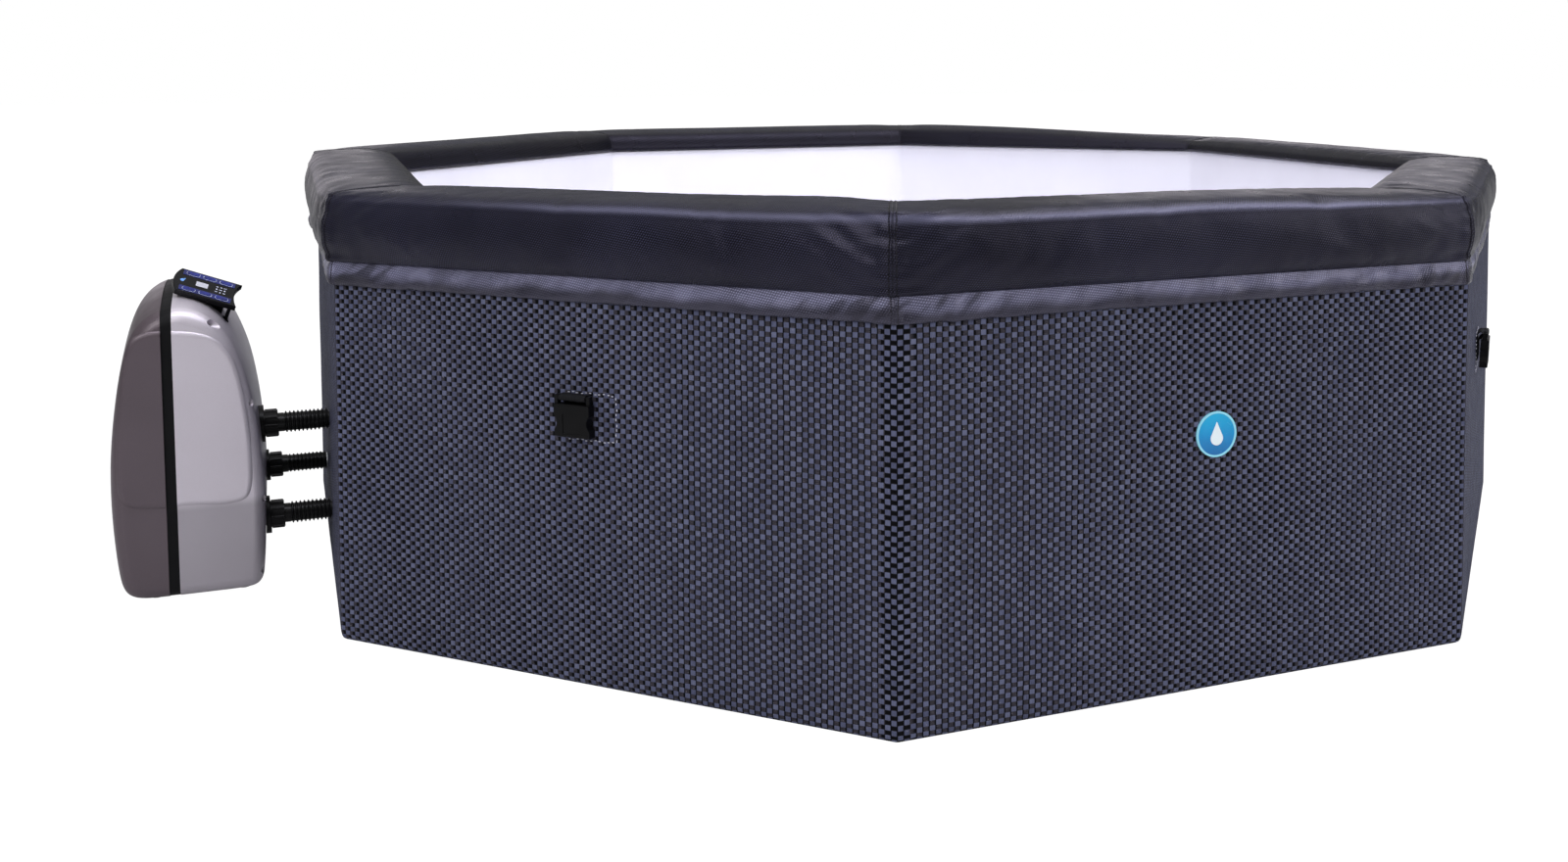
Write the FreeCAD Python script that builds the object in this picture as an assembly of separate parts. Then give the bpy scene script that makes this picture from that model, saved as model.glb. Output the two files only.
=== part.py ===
import FreeCAD, Part
import math, os

# Portable octagonal foam-walled hot tub with a floor-standing control unit.
# Millimetres. Origin: centre of the tub's underside, on the ground. +Z up.
# The octagon's flats face +-X, +-Y and the diagonals. The control unit stands off the -X wall.

os.makedirs("parts", exist_ok=True)
V = FreeCAD.Vector

# ---------------- driving dimensions ----------------
ACROSS_FLATS = 1950.0            # outside, at the foot of the wall
WALL_FOOT = ACROSS_FLATS / 2.0   # outer apothem at the foot
WALL_TOP = 952.5                 # outer apothem where the rim starts
WALL_TOP_Z = 510.0
SKIN = 2.0                       # jacket and liner thickness
GAP = 0.3                        # air left between neighbouring pieces
LINER_IN = 818.0                 # inner apothem of the water space
FLOOR_Z = 26.3                   # top of the liner's floor
RIM_TOP_Z = 610.0
RIM_IN = 811.5                   # inner apothem of the rim roll
RIM_SEAM_Z = 511.5
COVER_T = 1.8                    # rim cover skin
SKIRT_BOTTOM_Z = 483.0
SHEET_T = 4.0                    # ground sheet

UNIT_W = 160.0                   # half width of the control unit along Y
UNIT_BOTTOM = 6.0
UNIT_TOP = 446.0
UNIT_DOME = 26.0                 # how far the top falls towards the ends
END_R = 18.0                     # rounding between end faces and sides
SHELL_T = 3.0
BAND_HALF = 7.0                  # half width of the black parting band
PART_TOP_X = -1169.5             # parting plane, X at z = 463
PART_BOT_X = -1190.5             # parting plane, X at z = 1
PORT_U = (-50.0, 228.0)          # (y, z) of the water outlet port
PORT_L = (-100.0, 100.0)         # (y, z) of the water inlet port
PORT_A = (100.0, 126.0)          # (y, z) of the air port
FACE_X = -1060.0                 # tub-facing side of the unit
FLANGE_X = -1059.6
NUT_X0, NUT_X1 = -1056.3, -1037.3
HOSE_X0 = -1029.0                # where the ribs of a hose start
HOSE_PITCH = 5.7

PANEL_C = (-1119.3, -93.2, 443.8)
PANEL_L, PANEL_W = 90.0, 47.0
PANEL_SLOPE = 21.0               # fall of the panel towards the tub, degrees
PANEL_TILT = 35.0                # lean of the panel towards -Y, degrees
BUTTON_TRAVEL = 1.0

C8 = math.cos(math.radians(22.5))
T8 = math.tan(math.radians(22.5))


# ---------------- helpers ----------------
def ov(a, z, k):
    ang = math.radians(22.5 + 45.0 * k)
    r = a / C8
    return V(r * math.cos(ang), r * math.sin(ang), z)


def poly_face(pts):
    return Part.Face(Part.makePolygon(list(pts) + [pts[0]]))


def to_solid(faces):
    sh = Part.makeShell(faces)
    sh.sewShape()
    s = Part.Solid(sh)
    if s.Volume < 0:
        s.reverse()
    return s


def oct_stack(levels):
    """Solid octagonal stack through (apothem, z) levels, capped at both ends."""
    faces = [poly_face([ov(levels[0][0], levels[0][1], k) for k in range(8)]),
             poly_face([ov(levels[-1][0], levels[-1][1], k) for k in range(8)])]
    for (a0, z0), (a1, z1) in zip(levels[:-1], levels[1:]):
        for k in range(8):
            faces.append(poly_face([ov(a0, z0, k), ov(a0, z0, k + 1), ov(a1, z1, k + 1), ov(a1, z1, k)]))
    return to_solid(faces)


def oct_ring(profile):
    """Ring with a closed (apothem, z) section carried round the octagon."""
    faces = []
    n = len(profile)
    for i in range(n):
        a0, z0 = profile[i]
        a1, z1 = profile[(i + 1) % n]
        for k in range(8):
            faces.append(poly_face([ov(a0, z0, k), ov(a0, z0, k + 1), ov(a1, z1, k + 1), ov(a1, z1, k)]))
    return to_solid(faces)


def offset_path(path, t):
    """Open path moved sideways by t, to its left, with mitred corners."""
    out = []
    n = len(path)
    for i in range(n):
        if i == 0:
            d = (path[1][0] - path[0][0], path[1][1] - path[0][1])
            l = math.hypot(*d)
            out.append((path[0][0] - d[1] / l * t, path[0][1] + d[0] / l * t))
        elif i == n - 1:
            d = (path[-1][0] - path[-2][0], path[-1][1] - path[-2][1])
            l = math.hypot(*d)
            out.append((path[-1][0] - d[1] / l * t, path[-1][1] + d[0] / l * t))
        else:
            d0 = (path[i][0] - path[i - 1][0], path[i][1] - path[i - 1][1])
            d1 = (path[i + 1][0] - path[i][0], path[i + 1][1] - path[i][1])
            l0, l1 = math.hypot(*d0), math.hypot(*d1)
            n0 = (-d0[1] / l0, d0[0] / l0)
            n1 = (-d1[1] / l1, d1[0] / l1)
            b = (n0[0] + n1[0], n0[1] + n1[1])
            s = 2.0 * t / (b[0] ** 2 + b[1] ** 2)
            out.append((path[i][0] + b[0] * s, path[i][1] + b[1] * s))
    return out


def box(x0, x1, y0, y1, z0, z1):
    return Part.makeBox(x1 - x0, y1 - y0, z1 - z0, V(x0, y0, z0))


def cyl(p, d, r, h):
    return Part.makeCylinder(r, h, V(*p), V(*d))


def cx(x0, x1, y, z, r):
    return Part.makeCylinder(r, x1 - x0, V(x0, y, z), V(1, 0, 0))


def ringx(x0, x1, y, z, ro, ri):
    return cx(x0, x1, y, z, ro).cut(cx(x0 - 1, x1 + 1, y, z, ri))


def fuse(shapes):
    s = shapes[0]
    if len(shapes) > 1:
        s = s.multiFuse(shapes[1:])
    return s.removeSplitter()


def solids(shape):
    ss = shape.Solids
    return ss[0] if len(ss) == 1 else Part.makeCompound(ss)


def export(name, shape):
    shape = solids(shape)
    shape.exportStep("parts/%s.step" % name)
    bb = shape.BoundBox
    print("%-22s n=%d vol=%.0f x %.1f..%.1f y %.1f..%.1f z %.1f..%.1f valid=%s" % (
        name, len(shape.Solids), shape.Volume, bb.XMin, bb.XMax, bb.YMin, bb.YMax, bb.ZMin, bb.ZMax, shape.isValid()))
    return shape


def mitre_plates(width, z0, z1, r0=0.0, r1=1200.0):
    plates = []
    for k in range(8):
        b = box(r0, r1, -width / 2.0, width / 2.0, z0, z1)
        b.rotate(V(0, 0, 0), V(0, 0, 1), 22.5 + 45.0 * k)
        plates.append(b)
    return Part.makeCompound(plates)


def local(o, ex, ey, ez, p):
    return V(o[0] + ex[0] * p[0] + ey[0] * p[1] + ez[0] * p[2],
             o[1] + ex[1] * p[0] + ey[1] * p[1] + ez[1] * p[2],
             o[2] + ex[2] * p[0] + ey[2] * p[1] + ez[2] * p[2])


def place(shape, o, ex, ey, ez):
    m = FreeCAD.Matrix(ex[0], ey[0], ez[0], o[0], ex[1], ey[1], ez[1], o[1],
                       ex[2], ey[2], ez[2], o[2], 0, 0, 0, 1)
    s = shape.copy()
    s.Placement = FreeCAD.Placement(m)
    return s


def wall_a(z):
    return WALL_FOOT + (WALL_TOP - WALL_FOOT) * z / WALL_TOP_Z


# ================= the tub =================
# ground sheet under the tub
export("base_sheet", oct_stack([(957.0, 0.0), (960.0, 1.0), (960.0, SHEET_T - 0.5), (959.0, SHEET_T)]))

# floor pad inside the ring of wall panels
export("floor_foam_pad", oct_stack([(819.5, SHEET_T + 0.3), (819.5, 24.0)]))

# printed outer jacket, rounded in at the foot
foot = [(964.0, 0.0), (968.5, 1.2), (971.8, 3.6), (973.6, 7.5), (wall_a(13.0), 13.0)]
outer = foot + [(wall_a(WALL_TOP_Z), WALL_TOP_Z)]
inner = offset_path(outer, SKIN)
inner = [(outer[0][0] - SKIN, 0.0)] + [(a, z) for a, z in inner[1:-1]] + [(outer[-1][0] - SKIN, WALL_TOP_Z)]
jacket = oct_ring(outer + inner[::-1])

# eight tapered foam wall panels, mitred at the corners
wf_out = [(a - GAP, max(z, SHEET_T + 0.3)) for a, z in inner if z > SHEET_T + 0.5]
wf_out[0] = (wf_out[0][0] - 2.5, SHEET_T + 0.3)
wf_out = wf_out[:-1] + [(wall_a(509.7) - SKIN - GAP, 509.7), (937.6, 509.7), (933.6, 571.0)]
wall_ring = oct_ring([(820.3, SHEET_T + 0.3)] + wf_out + [(820.3, 571.0)])
wall_foam = wall_ring.cut(mitre_plates(0.8, -10, 700, 700.0, 1200.0))

# white liner: floor, wall and a flange that lies on the panels
liner_out = [(LINER_IN + SKIN, FLOOR_Z - SKIN), (LINER_IN + SKIN, 571.3), (934.0, 571.3), (934.0, 573.3)]
liner_in = [(LINER_IN, 573.3), (LINER_IN, FLOOR_Z)]
body_out = oct_stack([(LINER_IN + SKIN, FLOOR_Z - SKIN), (LINER_IN + SKIN, 573.3)])
flange = oct_stack([(934.0, 571.3), (934.0, 573.3)])
body_in = oct_stack([(LINER_IN, FLOOR_Z), (LINER_IN, 600.0)])
liner = body_out.fuse(flange).cut(body_in).removeSplitter()

# rim cover: one skin round the roll, hemmed under at both ends
rim_path = [(850.0, 573.8), (RIM_IN, 573.8), (812.0, 584.0), (815.0, 592.0), (821.0, 599.0), (831.0, 604.5),
            (846.0, 608.5), (865.0, 610.0), (900.0, 610.0), (920.0, 608.5), (935.5, 604.5), (948.0, 597.5),
            (957.0, 588.5), (963.0, 577.0), (966.5, 563.0), (967.5, 548.0), (966.0, 534.0), (962.0, 521.0),
            (955.5, RIM_SEAM_Z), (942.2, RIM_SEAM_Z), (942.2, 545.0)]
rim_skin_in = offset_path(rim_path, -COVER_T)
export("rim_cover", oct_ring(rim_path + rim_skin_in[::-1]))

# foam inside the rim: eight mitred pieces with an L section, gripping the panels' top edge
fi = offset_path(rim_path, -(COVER_T + GAP))
rim_foam_sec = [(fi[1][0], 575.9)] + fi[2:18] + [(fi[18][0] - 1.0, RIM_SEAM_Z + COVER_T + GAP),
                                               (942.2 + COVER_T + GAP, RIM_SEAM_Z + COVER_T + GAP),
                                               (942.2 + COVER_T + GAP, 575.9)]
rim_foam = oct_ring(rim_foam_sec).cut(mitre_plates(0.8, 400, 700, 700.0, 1200.0))
export("rim_foam", rim_foam)

# skirt: a narrow flap sewn into the seam below the rim, all round
skirt_sec = [(955.1, 511.0), (956.6, 500.0), (957.6, 490.0), (957.4, SKIRT_BOTTOM_Z),
             (955.8, SKIRT_BOTTOM_Z), (956.0, 490.2), (955.0, 500.2), (953.5, 511.0)]
export("rim_skirt", oct_ring(skirt_sec).cut(mitre_plates(0.6, 400, 700, 700.0, 1200.0)))

# ---- holes through the -X wall and the drain through the +Y wall ----
THRU_R = 11.5
DRAIN = (0.0, 80.0)              # (x, z) of the drain on the +Y wall
wall_cuts = [cx(-1000.0, -800.0, y, z, THRU_R + 0.4) for y, z in (PORT_U, PORT_L, PORT_A)]
wall_cuts.append(Part.makeCylinder(12.4, 200.0, V(DRAIN[0], 800.0, DRAIN[1]), V(0, 1, 0)))
cuts = Part.makeCompound(wall_cuts)
export("outer_jacket", jacket.cut(cuts))
export("wall_foam_panels", wall_foam.cut(cuts))
export("inner_liner", liner.cut(cuts))

# ---- wall ports: tube through the wall, flange on the liner ----
hose_in_r = 12.0
outlet = fuse([cx(-992.0, -806.0, PORT_U[0], PORT_U[1], THRU_R), cx(-817.7, -813.7, PORT_U[0], PORT_U[1], 34.0),
               cx(-813.7, -800.0, PORT_U[0], PORT_U[1], 22.0)])
outlet = outlet.cut(cx(-993.0, -799.0, PORT_U[0], PORT_U[1], 9.2)).cut(cx(-808.0, -799.0, PORT_U[0], PORT_U[1], 19.0))
fins = []
for i in range(5):
    fins.append(box(-807.0, -803.0, PORT_U[0] - 21.0, PORT_U[0] + 21.0, PORT_U[1] - 16.0 + 8.0 * i - 0.9, PORT_U[1] - 16.0 + 8.0 * i + 0.9))
fins = [f.common(cx(-810.0, -799.0, PORT_U[0], PORT_U[1], 20.0)) for f in fins]
outlet = fuse([outlet] + fins)

intake = fuse([cx(-992.0, -806.0, PORT_L[0], PORT_L[1], THRU_R), cx(-817.7, -811.7, PORT_L[0], PORT_L[1], 47.0),
               cx(-811.7, -799.0, PORT_L[0], PORT_L[1], 17.0)])
export("wall_port_fittings", Part.makeCompound([outlet, intake.cut(cx(-993.0, -798.0, PORT_L[0], PORT_L[1], 9.2))]))

# filter: base with a collar over the intake, pleated cartridge, slotted cap
fy, fz = PORT_L
base = fuse([cx(-811.2, -806.2, fy, fz, 46.0), cx(-806.2, -796.0, fy, fz, 24.0), cx(-799.0, -796.0, fy, fz, 45.5)])
base = base.cut(cx(-812.0, -795.0, fy, fz, 17.4))
export("filter_base", base)
pts = []
for i in range(96):
    a = math.radians(i * 3.75)
    rr = 43.5 if i % 2 == 0 else 34.0
    pts.append(V(-795.6, fy + rr * math.cos(a), fz + rr * math.sin(a)))
pleat = Part.Face(Part.makePolygon(pts + [pts[0]])).extrude(V(80.0, 0, 0)).cut(cx(-796.0, -715.0, fy, fz, 20.0))
export("filter_cartridge", fuse([pleat, ringx(-795.6, -791.6, fy, fz, 44.5, 20.0), ringx(-719.6, -715.6, fy, fz, 44.5, 20.0)]))
cap = cx(-794.8, -708.6, fy, fz, 49.4).cut(cx(-796.0, -711.6, fy, fz, 47.2))
slots = []
for i in range(24):
    s = box(-785.0, -721.0, 42.0, 60.0, -2.2, 2.2)
    s.rotate(V(0, 0, 0), V(1, 0, 0), 15.0 * i)
    s.translate(V(0, fy, fz))
    slots.append(s)
cap = cap.cut(Part.makeCompound(slots))
grips = []
for i in range(3):
    g = box(-708.7, -702.6, -38.0, 38.0, -3.0, 3.0)
    g.rotate(V(0, 0, 0), V(1, 0, 0), 60.0 * i)
    g.translate(V(0, fy, fz))
    grips.append(g)
export("filter_cap", fuse([cap] + grips))

# air duct: tube through the wall, then a flat duct down to the ring
ay, az = PORT_A
duct = fuse([cx(-992.0, -806.0, ay, az, THRU_R), box(-817.7, -803.0, ay - 22.0, ay + 22.0, 52.3, az + 22.0)])
duct_in = fuse([cx(-993.0, -806.0, ay, az, 9.2), box(-815.7, -805.0, ay - 20.0, ay + 20.0, 50.0, az + 20.0)])
export("air_duct", duct.cut(duct_in))

# bubble ring: a channel along the foot of the liner wall with a row of air holes
ring_path = [(817.6, 50.0), (795.0, 50.0), (788.0, 43.0), (788.0, 26.8), (817.6, 26.8)]
ring_in = offset_path(ring_path, 2.0)
ring_in[0] = (817.6, 48.0)
ring_in[-1] = (817.6, 28.8)
air_ring = oct_ring(ring_path + ring_in[::-1])
holes = []
for k in range(8):
    for i in range(9):
        t = -280.0 + 70.0 * i
        h = Part.makeCylinder(1.5, 14.0, V(782.0, t, 40.0), V(1, 0, 0))
        h.rotate(V(0, 0, 0), V(0, 0, 1), 45.0 * k)
        holes.append(h)
holes.append(box(-811.0, -804.0, ay - 15.0, ay + 15.0, 46.0, 54.0))
export("air_ring", air_ring.cut(Part.makeCompound(holes)).cut(mitre_plates(0.5, 0.0, 100.0, 700.0, 1000.0)))


# drain: body through the +Y wall with a screw cap outside and a strainer inside
def cy(y0, y1, x, z, r):
    return Part.makeCylinder(r, y1 - y0, V(x, y0, z), V(0, 1, 0))


dx, dz = DRAIN
wo = wall_a(dz)
drain = fuse([cy(806.0, 982.0, dx, dz, 12.0), cy(813.7, 817.7, dx, dz, 26.0), cy(wo + 2.2, wo + 5.2, dx, dz, 24.0)])
drain = drain.cut(cy(808.0, 983.0, dx, dz, 9.5))
sh = [cy(800.0, 812.0, dx + 4.8 * math.cos(math.radians(60 * i)), dz + 4.8 * math.sin(math.radians(60 * i)), 1.6) for i in range(6)]
export("drain_body", drain.cut(Part.makeCompound(sh + [cy(800.0, 812.0, dx, dz, 1.6)])))
capd = cy(wo + 6.0, 986.0, dx, dz, 17.0).cut(cy(wo + 5.0, 982.5, dx, dz, 12.3))
ribs = []
for i in range(12):
    b = Part.makeCylinder(1.4, 986.0 - wo - 6.0, V(17.0 * math.cos(math.radians(30 * i)) + dx, wo + 6.0, 17.0 * math.sin(math.radians(30 * i)) + dz), V(0, 1, 0))
    ribs.append(b)
export("drain_cap", fuse([capd] + ribs))

# generic round badge on the -Y wall: domed disc with a raised water drop
bz = 321.0
bx = 16.0
slope = math.atan((WALL_FOOT - WALL_TOP) / WALL_TOP_Z)
b_o = (bx, -(wall_a(bz) + 0.25), bz)
b_n = (0.0, -math.cos(slope), math.sin(slope))
b_e = (1.0, 0.0, 0.0)
b_u = (0.0, math.sin(slope), math.cos(slope))
disc = Part.makeCylinder(28.0, 1.6, V(0, 0, 0), V(0, 0, 1))
rim_b = Part.makeCylinder(28.0, 0.7, V(0, 0, 1.5)).cut(Part.makeCylinder(25.6, 2.0, V(0, 0, 1.0)))
badge = fuse([disc, rim_b])
badge = place(badge, b_o, b_e, b_u, b_n)
dp = []
for i in range(0, 25):
    a = math.radians(-215.0 + 250.0 * i / 24.0)
    dp.append(V(8.5 * math.cos(a), 8.5 * math.sin(a) - 5.0, 1.75))
tip = V(0.0, 15.0, 1.75)
drop = Part.Face(Part.makePolygon([tip] + dp + [tip])).extrude(V(0, 0, 1.0))
export("badge", Part.makeCompound([badge, place(drop, b_o, b_e, b_u, b_n)]))

# ================= lid buckles =================
# Webbing tab sewn to the wall, looped over the bar of a side-release buckle that hangs down.
BK_BAR_Z = 366.0
BK_N = 12.5                      # bar centre, distance from the wall face


def buckle_frame(ang, t):
    ca, sa = math.cos(math.radians(ang)), math.sin(math.radians(ang))
    a = wall_a(BK_BAR_Z)
    o = (ca * a - sa * t, sa * a + ca * t, BK_BAR_Z)
    ex = (-sa, ca, 0.0)                                            # along the wall
    ez = (ca * math.cos(slope), sa * math.cos(slope), math.sin(slope))   # out of the wall
    ey = (ez[1] * ex[2] - ez[2] * ex[1], ez[2] * ex[0] - ez[0] * ex[2], ez[0] * ex[1] - ez[1] * ex[0])
    return o, ex, ey, ez


BUCKLES = [(-135.0, -19.0), (-45.0, -80.0), (45.0, 0.0), (135.0, 0.0)]


def tab_shape():
    # flat part on the wall, then an open loop round the bar, then a short tail in front of the flat part
    flat = box(-19.0, 19.0, -40.0, 2.0, 0.3, 1.9)
    o1 = Part.makeCylinder(4.7, 38.0, V(-19.0, 0.0, BK_N), V(1, 0, 0))
    i1 = Part.makeCylinder(3.3, 40.0, V(-20.0, 0.0, BK_N), V(1, 0, 0))
    loop = o1.cut(i1)
    slant = Part.Face(Part.makePolygon([V(-19, 2.0, 0.3), V(-19, 4.6, BK_N - 0.4), V(-19, 3.4, BK_N - 1.0), V(-19, 0.2, 1.9), V(-19, 2.0, 0.3)])).extrude(V(38, 0, 0))
    slant2 = Part.Face(Part.makePolygon([V(-19, -9.0, 1.8), V(-19, -4.5, BK_N - 1.3), V(-19, -3.2, BK_N - 1.9), V(-19, -7.2, 1.8), V(-19, -9.0, 1.8)])).extrude(V(38, 0, 0))
    return fuse([flat, loop, slant, slant2])


def buckle_shape():
    # local: x along the wall, y up, z out of the wall; the bar's centre is the origin
    zc = 0.0
    bar = Part.makeCylinder(2.6, 42.0, V(-21.0, 0.0, zc), V(1, 0, 0))
    armL = box(-25.0, -20.2, -10.0, 3.2, zc - 3.4, zc + 3.4)
    armR = box(20.2, 25.0, -10.0, 3.2, zc - 3.4, zc + 3.4)
    top = box(-25.0, 25.0, -13.5, -7.5, zc - 5.6, zc + 6.0)
    body = box(-25.0, 25.0, -48.0, -13.4, zc - 5.6, zc + 6.0)
    cav = box(-19.0, 19.0, -49.0, -16.0, zc - 3.8, zc + 4.2)
    s = fuse([bar, armL, armR, top, body]).cut(cav)
    # concave side windows through which the mating half's prongs are pinched
    winL = Part.makeCylinder(13.0, 20.0, V(-34.2, -30.0, zc - 10.0), V(0, 0, 1))
    winR = Part.makeCylinder(13.0, 20.0, V(34.2, -30.0, zc - 10.0), V(0, 0, 1))
    s = s.cut(winL).cut(winR)
    # shallow recessed field on the front face
    s = s.cut(box(-13.0, 13.0, -44.0, -20.0, zc + 5.4, zc + 7.0))
    try:
        es = [e for e in s.Edges if abs(e.BoundBox.XLength) > 45.0 and e.BoundBox.ZMax > zc + 5.5 and abs(e.BoundBox.YLength) < 0.1]
        s = s.makeFillet(1.2, es)
    except Exception:
        pass
    return s


tabs = []
for i, (ang, t) in enumerate(BUCKLES):
    o, ex, ey, ez = buckle_frame(ang, t)
    tabs.append(place(tab_shape(), o, ex, ey, ez))
    p = local(o, ex, ey, ez, (0, 0, BK_N))
    ca, sa = math.cos(math.radians(ang)), math.sin(math.radians(ang))
    export("buckle_%d" % (i + 1), place(buckle_shape(), (p.x, p.y, p.z), ex, (0.0, 0.0, 1.0), (ca, sa, 0.0)))
    print("BUCKLE", i + 1, [round(c / 1000.0, 6) for c in p], [round(c, 6) for c in ex])
export("buckle_tabs", Part.makeCompound(tabs))

# ================= control unit =================
SIDE = [(-1149.0, 6.0), (-1166.0, 6.0), (-1183.0, 6.0), (-1200.0, 6.1), (-1216.0, 6.4), (-1231.0, 7.6), (-1243.0, 11.0),
        (-1251.5, 17.5), (-1256.5, 28.0), (-1259.5, 45.0), (-1261.5, 75.0),
        (-1262.5, 119.0), (-1261.5, 171.0), (-1257.5, 227.0), (-1251.5, 273.0), (-1243.0, 322.0), (-1231.5, 372.0),
        (-1219.0, 406.0), (-1207.0, 424.0), (-1190.0, 438.0), (-1171.0, 445.0), (-1153.0, 446.0), (-1136.0, 441.5),
        (-1120.0, 431.5), (-1105.5, 416.5), (-1093.0, 396.0), (-1082.5, 368.0), (-1073.8, 335.0), (-1067.5, 295.0),
        (-1063.2, 250.0), (-1061.0, 200.0), (-1060.5, 148.0), (-1062.5, 108.0), (-1066.0, 62.0), (-1069.0, 36.0),
        (-1072.5, 20.0), (-1079.5, 11.0), (-1090.0, 7.4), (-1103.0, 6.3), (-1118.0, 6.0), (-1133.0, 6.0)]


def inset_loop(pts, d):
    n = len(pts)
    out = []
    for i in range(n):
        p0, p1, p2 = pts[i - 1], pts[i], pts[(i + 1) % n]
        tx, tz = p2[0] - p0[0], p2[1] - p0[1]
        l = math.hypot(tx, tz)
        # the loop runs so that its inside is on this side
        out.append((p1[0] - (-tz / l) * -d, p1[1] - (tx / l) * -d))
    return out


def area(pts):
    return 0.5 * sum(pts[i - 1][0] * pts[i][1] - pts[i][0] * pts[i - 1][1] for i in range(len(pts)))


def inset(pts, d):
    if abs(d) < 1e-9:
        return list(pts)
    a = inset_loop(pts, d)
    if (abs(area(a)) < abs(area(pts))) == (d > 0):
        return a
    return inset_loop(pts, -d)


def dome(pts, y, w):
    h = UNIT_TOP - UNIT_DOME * (abs(y) / w) ** 2
    k = (h - UNIT_BOTTOM) / (UNIT_TOP - UNIT_BOTTOM)
    return [(x, UNIT_BOTTOM + (z - UNIT_BOTTOM) * k) for x, z in pts]


def section_wire(pts, y):
    c = Part.BSplineCurve()
    c.interpolate([V(x, y, z) for x, z in pts], True)
    return Part.Wire([c.toShape()])


def unit_body(d):
    """The unit's outer form moved in by d."""
    w = UNIT_W - d
    r = max(END_R - d, 4.0)
    ys = []
    for f in (1.0, 0.992, 0.965, 0.92, 0.85, 0.76, 0.64, 0.50, 0.34, 0.17, 0.0):
        ys.append(w - r + r * f)
    mids = [128.0, 112.0, 96.0, 80.0, 64.0, 48.0, 32.0, 16.0, 0.0]
    seq = [-y for y in ys] + [-m for m in mids] + [m for m in mids[-2::-1]] + ys[::-1]
    wires = []
    for y in seq:
        e = abs(y) - (w - r)
        cut_in = 0.0
        if e > 0:
            cut_in = r - math.sqrt(max(r * r - e * e, 0.0))
        pts = dome(SIDE, y, UNIT_W)
        wires.append(section_wire(inset(pts, d + cut_in), y))
    return Part.makeLoft(wires, True, True)


PAD = [(-1180.0, 141.5), (-1140.0, 140.5), (-1100.0, 140.0), (-1085.0, 146.0), (-1077.5, 163.0), (-1075.0, 192.0),
       (-1074.5, 230.0), (-1076.5, 270.0), (-1081.0, 312.0), (-1088.0, 345.0), (-1099.0, 368.0), (-1117.0, 384.0), (-1146.0, 393.0),
       (-1172.0, 395.5), (-1198.0, 395.0), (-1213.0, 389.0), (-1223.0, 375.0), (-1229.5, 352.0), (-1238.0, 308.0),
       (-1245.5, 255.0), (-1250.0, 205.0), (-1250.5, 170.0), (-1244.0, 152.0), (-1228.0, 144.5), (-1205.0, 142.0)]


def pad_body(sign):
    wires = []
    for y, d in ((UNIT_W - 2.8, 0.0), (UNIT_W - 0.2, 0.05), (UNIT_W + 0.5, 0.6), (UNIT_W + 1.4, 1.8), (UNIT_W + 2.2, 3.4), (UNIT_W + 2.8, 5.4), (UNIT_W + 3.0, 7.6)):
        wires.append(section_wire(inset(PAD, d), sign * y))
    return Part.makeLoft(wires, True, True)


form = unit_body(0.0)
form_in = unit_body(SHELL_T)
full = form.fuse(pad_body(-1)).fuse(pad_body(1))


def half_space(off, side):
    """Everything on one side of the slanted parting plane shifted by off along X."""
    xt = PART_TOP_X + off
    xb = PART_BOT_X + off
    s = (xt - xb) / 462.0
    z0, z1 = -20.0, 520.0
    a = V(xb + s * (z0 - 1.0), -220.0, z0)
    b = V(xb + s * (z1 - 1.0), -220.0, z1)
    far = 300.0 * side
    f = Part.Face(Part.makePolygon([a, b, V(b.x + far, -220.0, z1), V(a.x + far, -220.0, z0), a]))
    return f.extrude(V(0, 440.0, 0))


tub_half = half_space(BAND_HALF + 0.15, 1)
out_half = half_space(-(BAND_HALF + 0.15), -1)
band_slab = half_space(-BAND_HALF, 1).common(half_space(BAND_HALF, -1))

shell = full.cut(form_in)
silver = shell.common(tub_half)
taupe = shell.common(out_half)

# bosses for the casing screws, drilled from the tub side
SCREWS = [(150.0, 282.0, -1086.0, 5.0, 8.5), (150.0, 139.0, -1086.0, 5.0, 8.5), (149.0, 31.0, -1094.0, 5.0, 8.5),
          (147.5, 399.0, -1137.0, 6.8, 10.3)]      # y, z, seat X, recess radius, boss radius
b_sil, b_tau, c_sil, c_tau, screw_shapes = [], [], [], [], []
for sy in (-1, 1):
    for y, z, seat, rr, rb_ in SCREWS:
        px = PART_BOT_X + (PART_TOP_X - PART_BOT_X) * (z - 1.0) / 462.0
        b_sil.append(cx(px, -1030.0, sy * y, z, rb_))
        b_tau.append(cx(-1214.0, px, sy * y, z, rb_))
        c_sil.append(cx(seat, -1020.0, sy * y, z, rr))
        c_sil.append(cx(-1250.0, seat + 1, sy * y, z, 2.3))
        c_tau.append(cx(-1206.0, px + 20, sy * y, z, 2.2))
        scr = fuse([cx(-1202.0, seat + 0.2, sy * y, z, 2.0), cx(seat + 0.2, seat + 3.0, sy * y, z, 4.2)])
        scr = scr.cut(box(seat + 1.8, seat + 4.0, sy * y - 3.2, sy * y + 3.2, z - 0.5, z + 0.5)).cut(
            box(seat + 1.8, seat + 4.0, sy * y - 0.5, sy * y + 0.5, z - 3.2, z + 3.2))
        screw_shapes.append(scr)
sil_b = Part.makeCompound(b_sil).common(form).common(tub_half)
tau_b = Part.makeCompound(b_tau).common(form).common(out_half)
silver = silver.fuse(sil_b).cut(Part.makeCompound(c_sil))
taupe = taupe.fuse(tau_b).cut(Part.makeCompound(c_tau))

# port holes
for y, z in (PORT_U, PORT_L, PORT_A):
    silver = silver.cut(cx(-1080.0, -1040.0, y, z, 18.0))

# band between the two halves
band_o = unit_body(0.7)
band_i = unit_body(7.0)
band = band_o.cut(band_i).common(band_slab)
band = band.cut(Part.makeCompound([cx(-1250.0, -1060.0, sy * y, z, 2.4) for sy in (-1, 1) for y, z, s, rr, rb_ in SCREWS]))
export("trim_band", band)
export("casing_screws", Part.makeCompound(screw_shapes))

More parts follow.
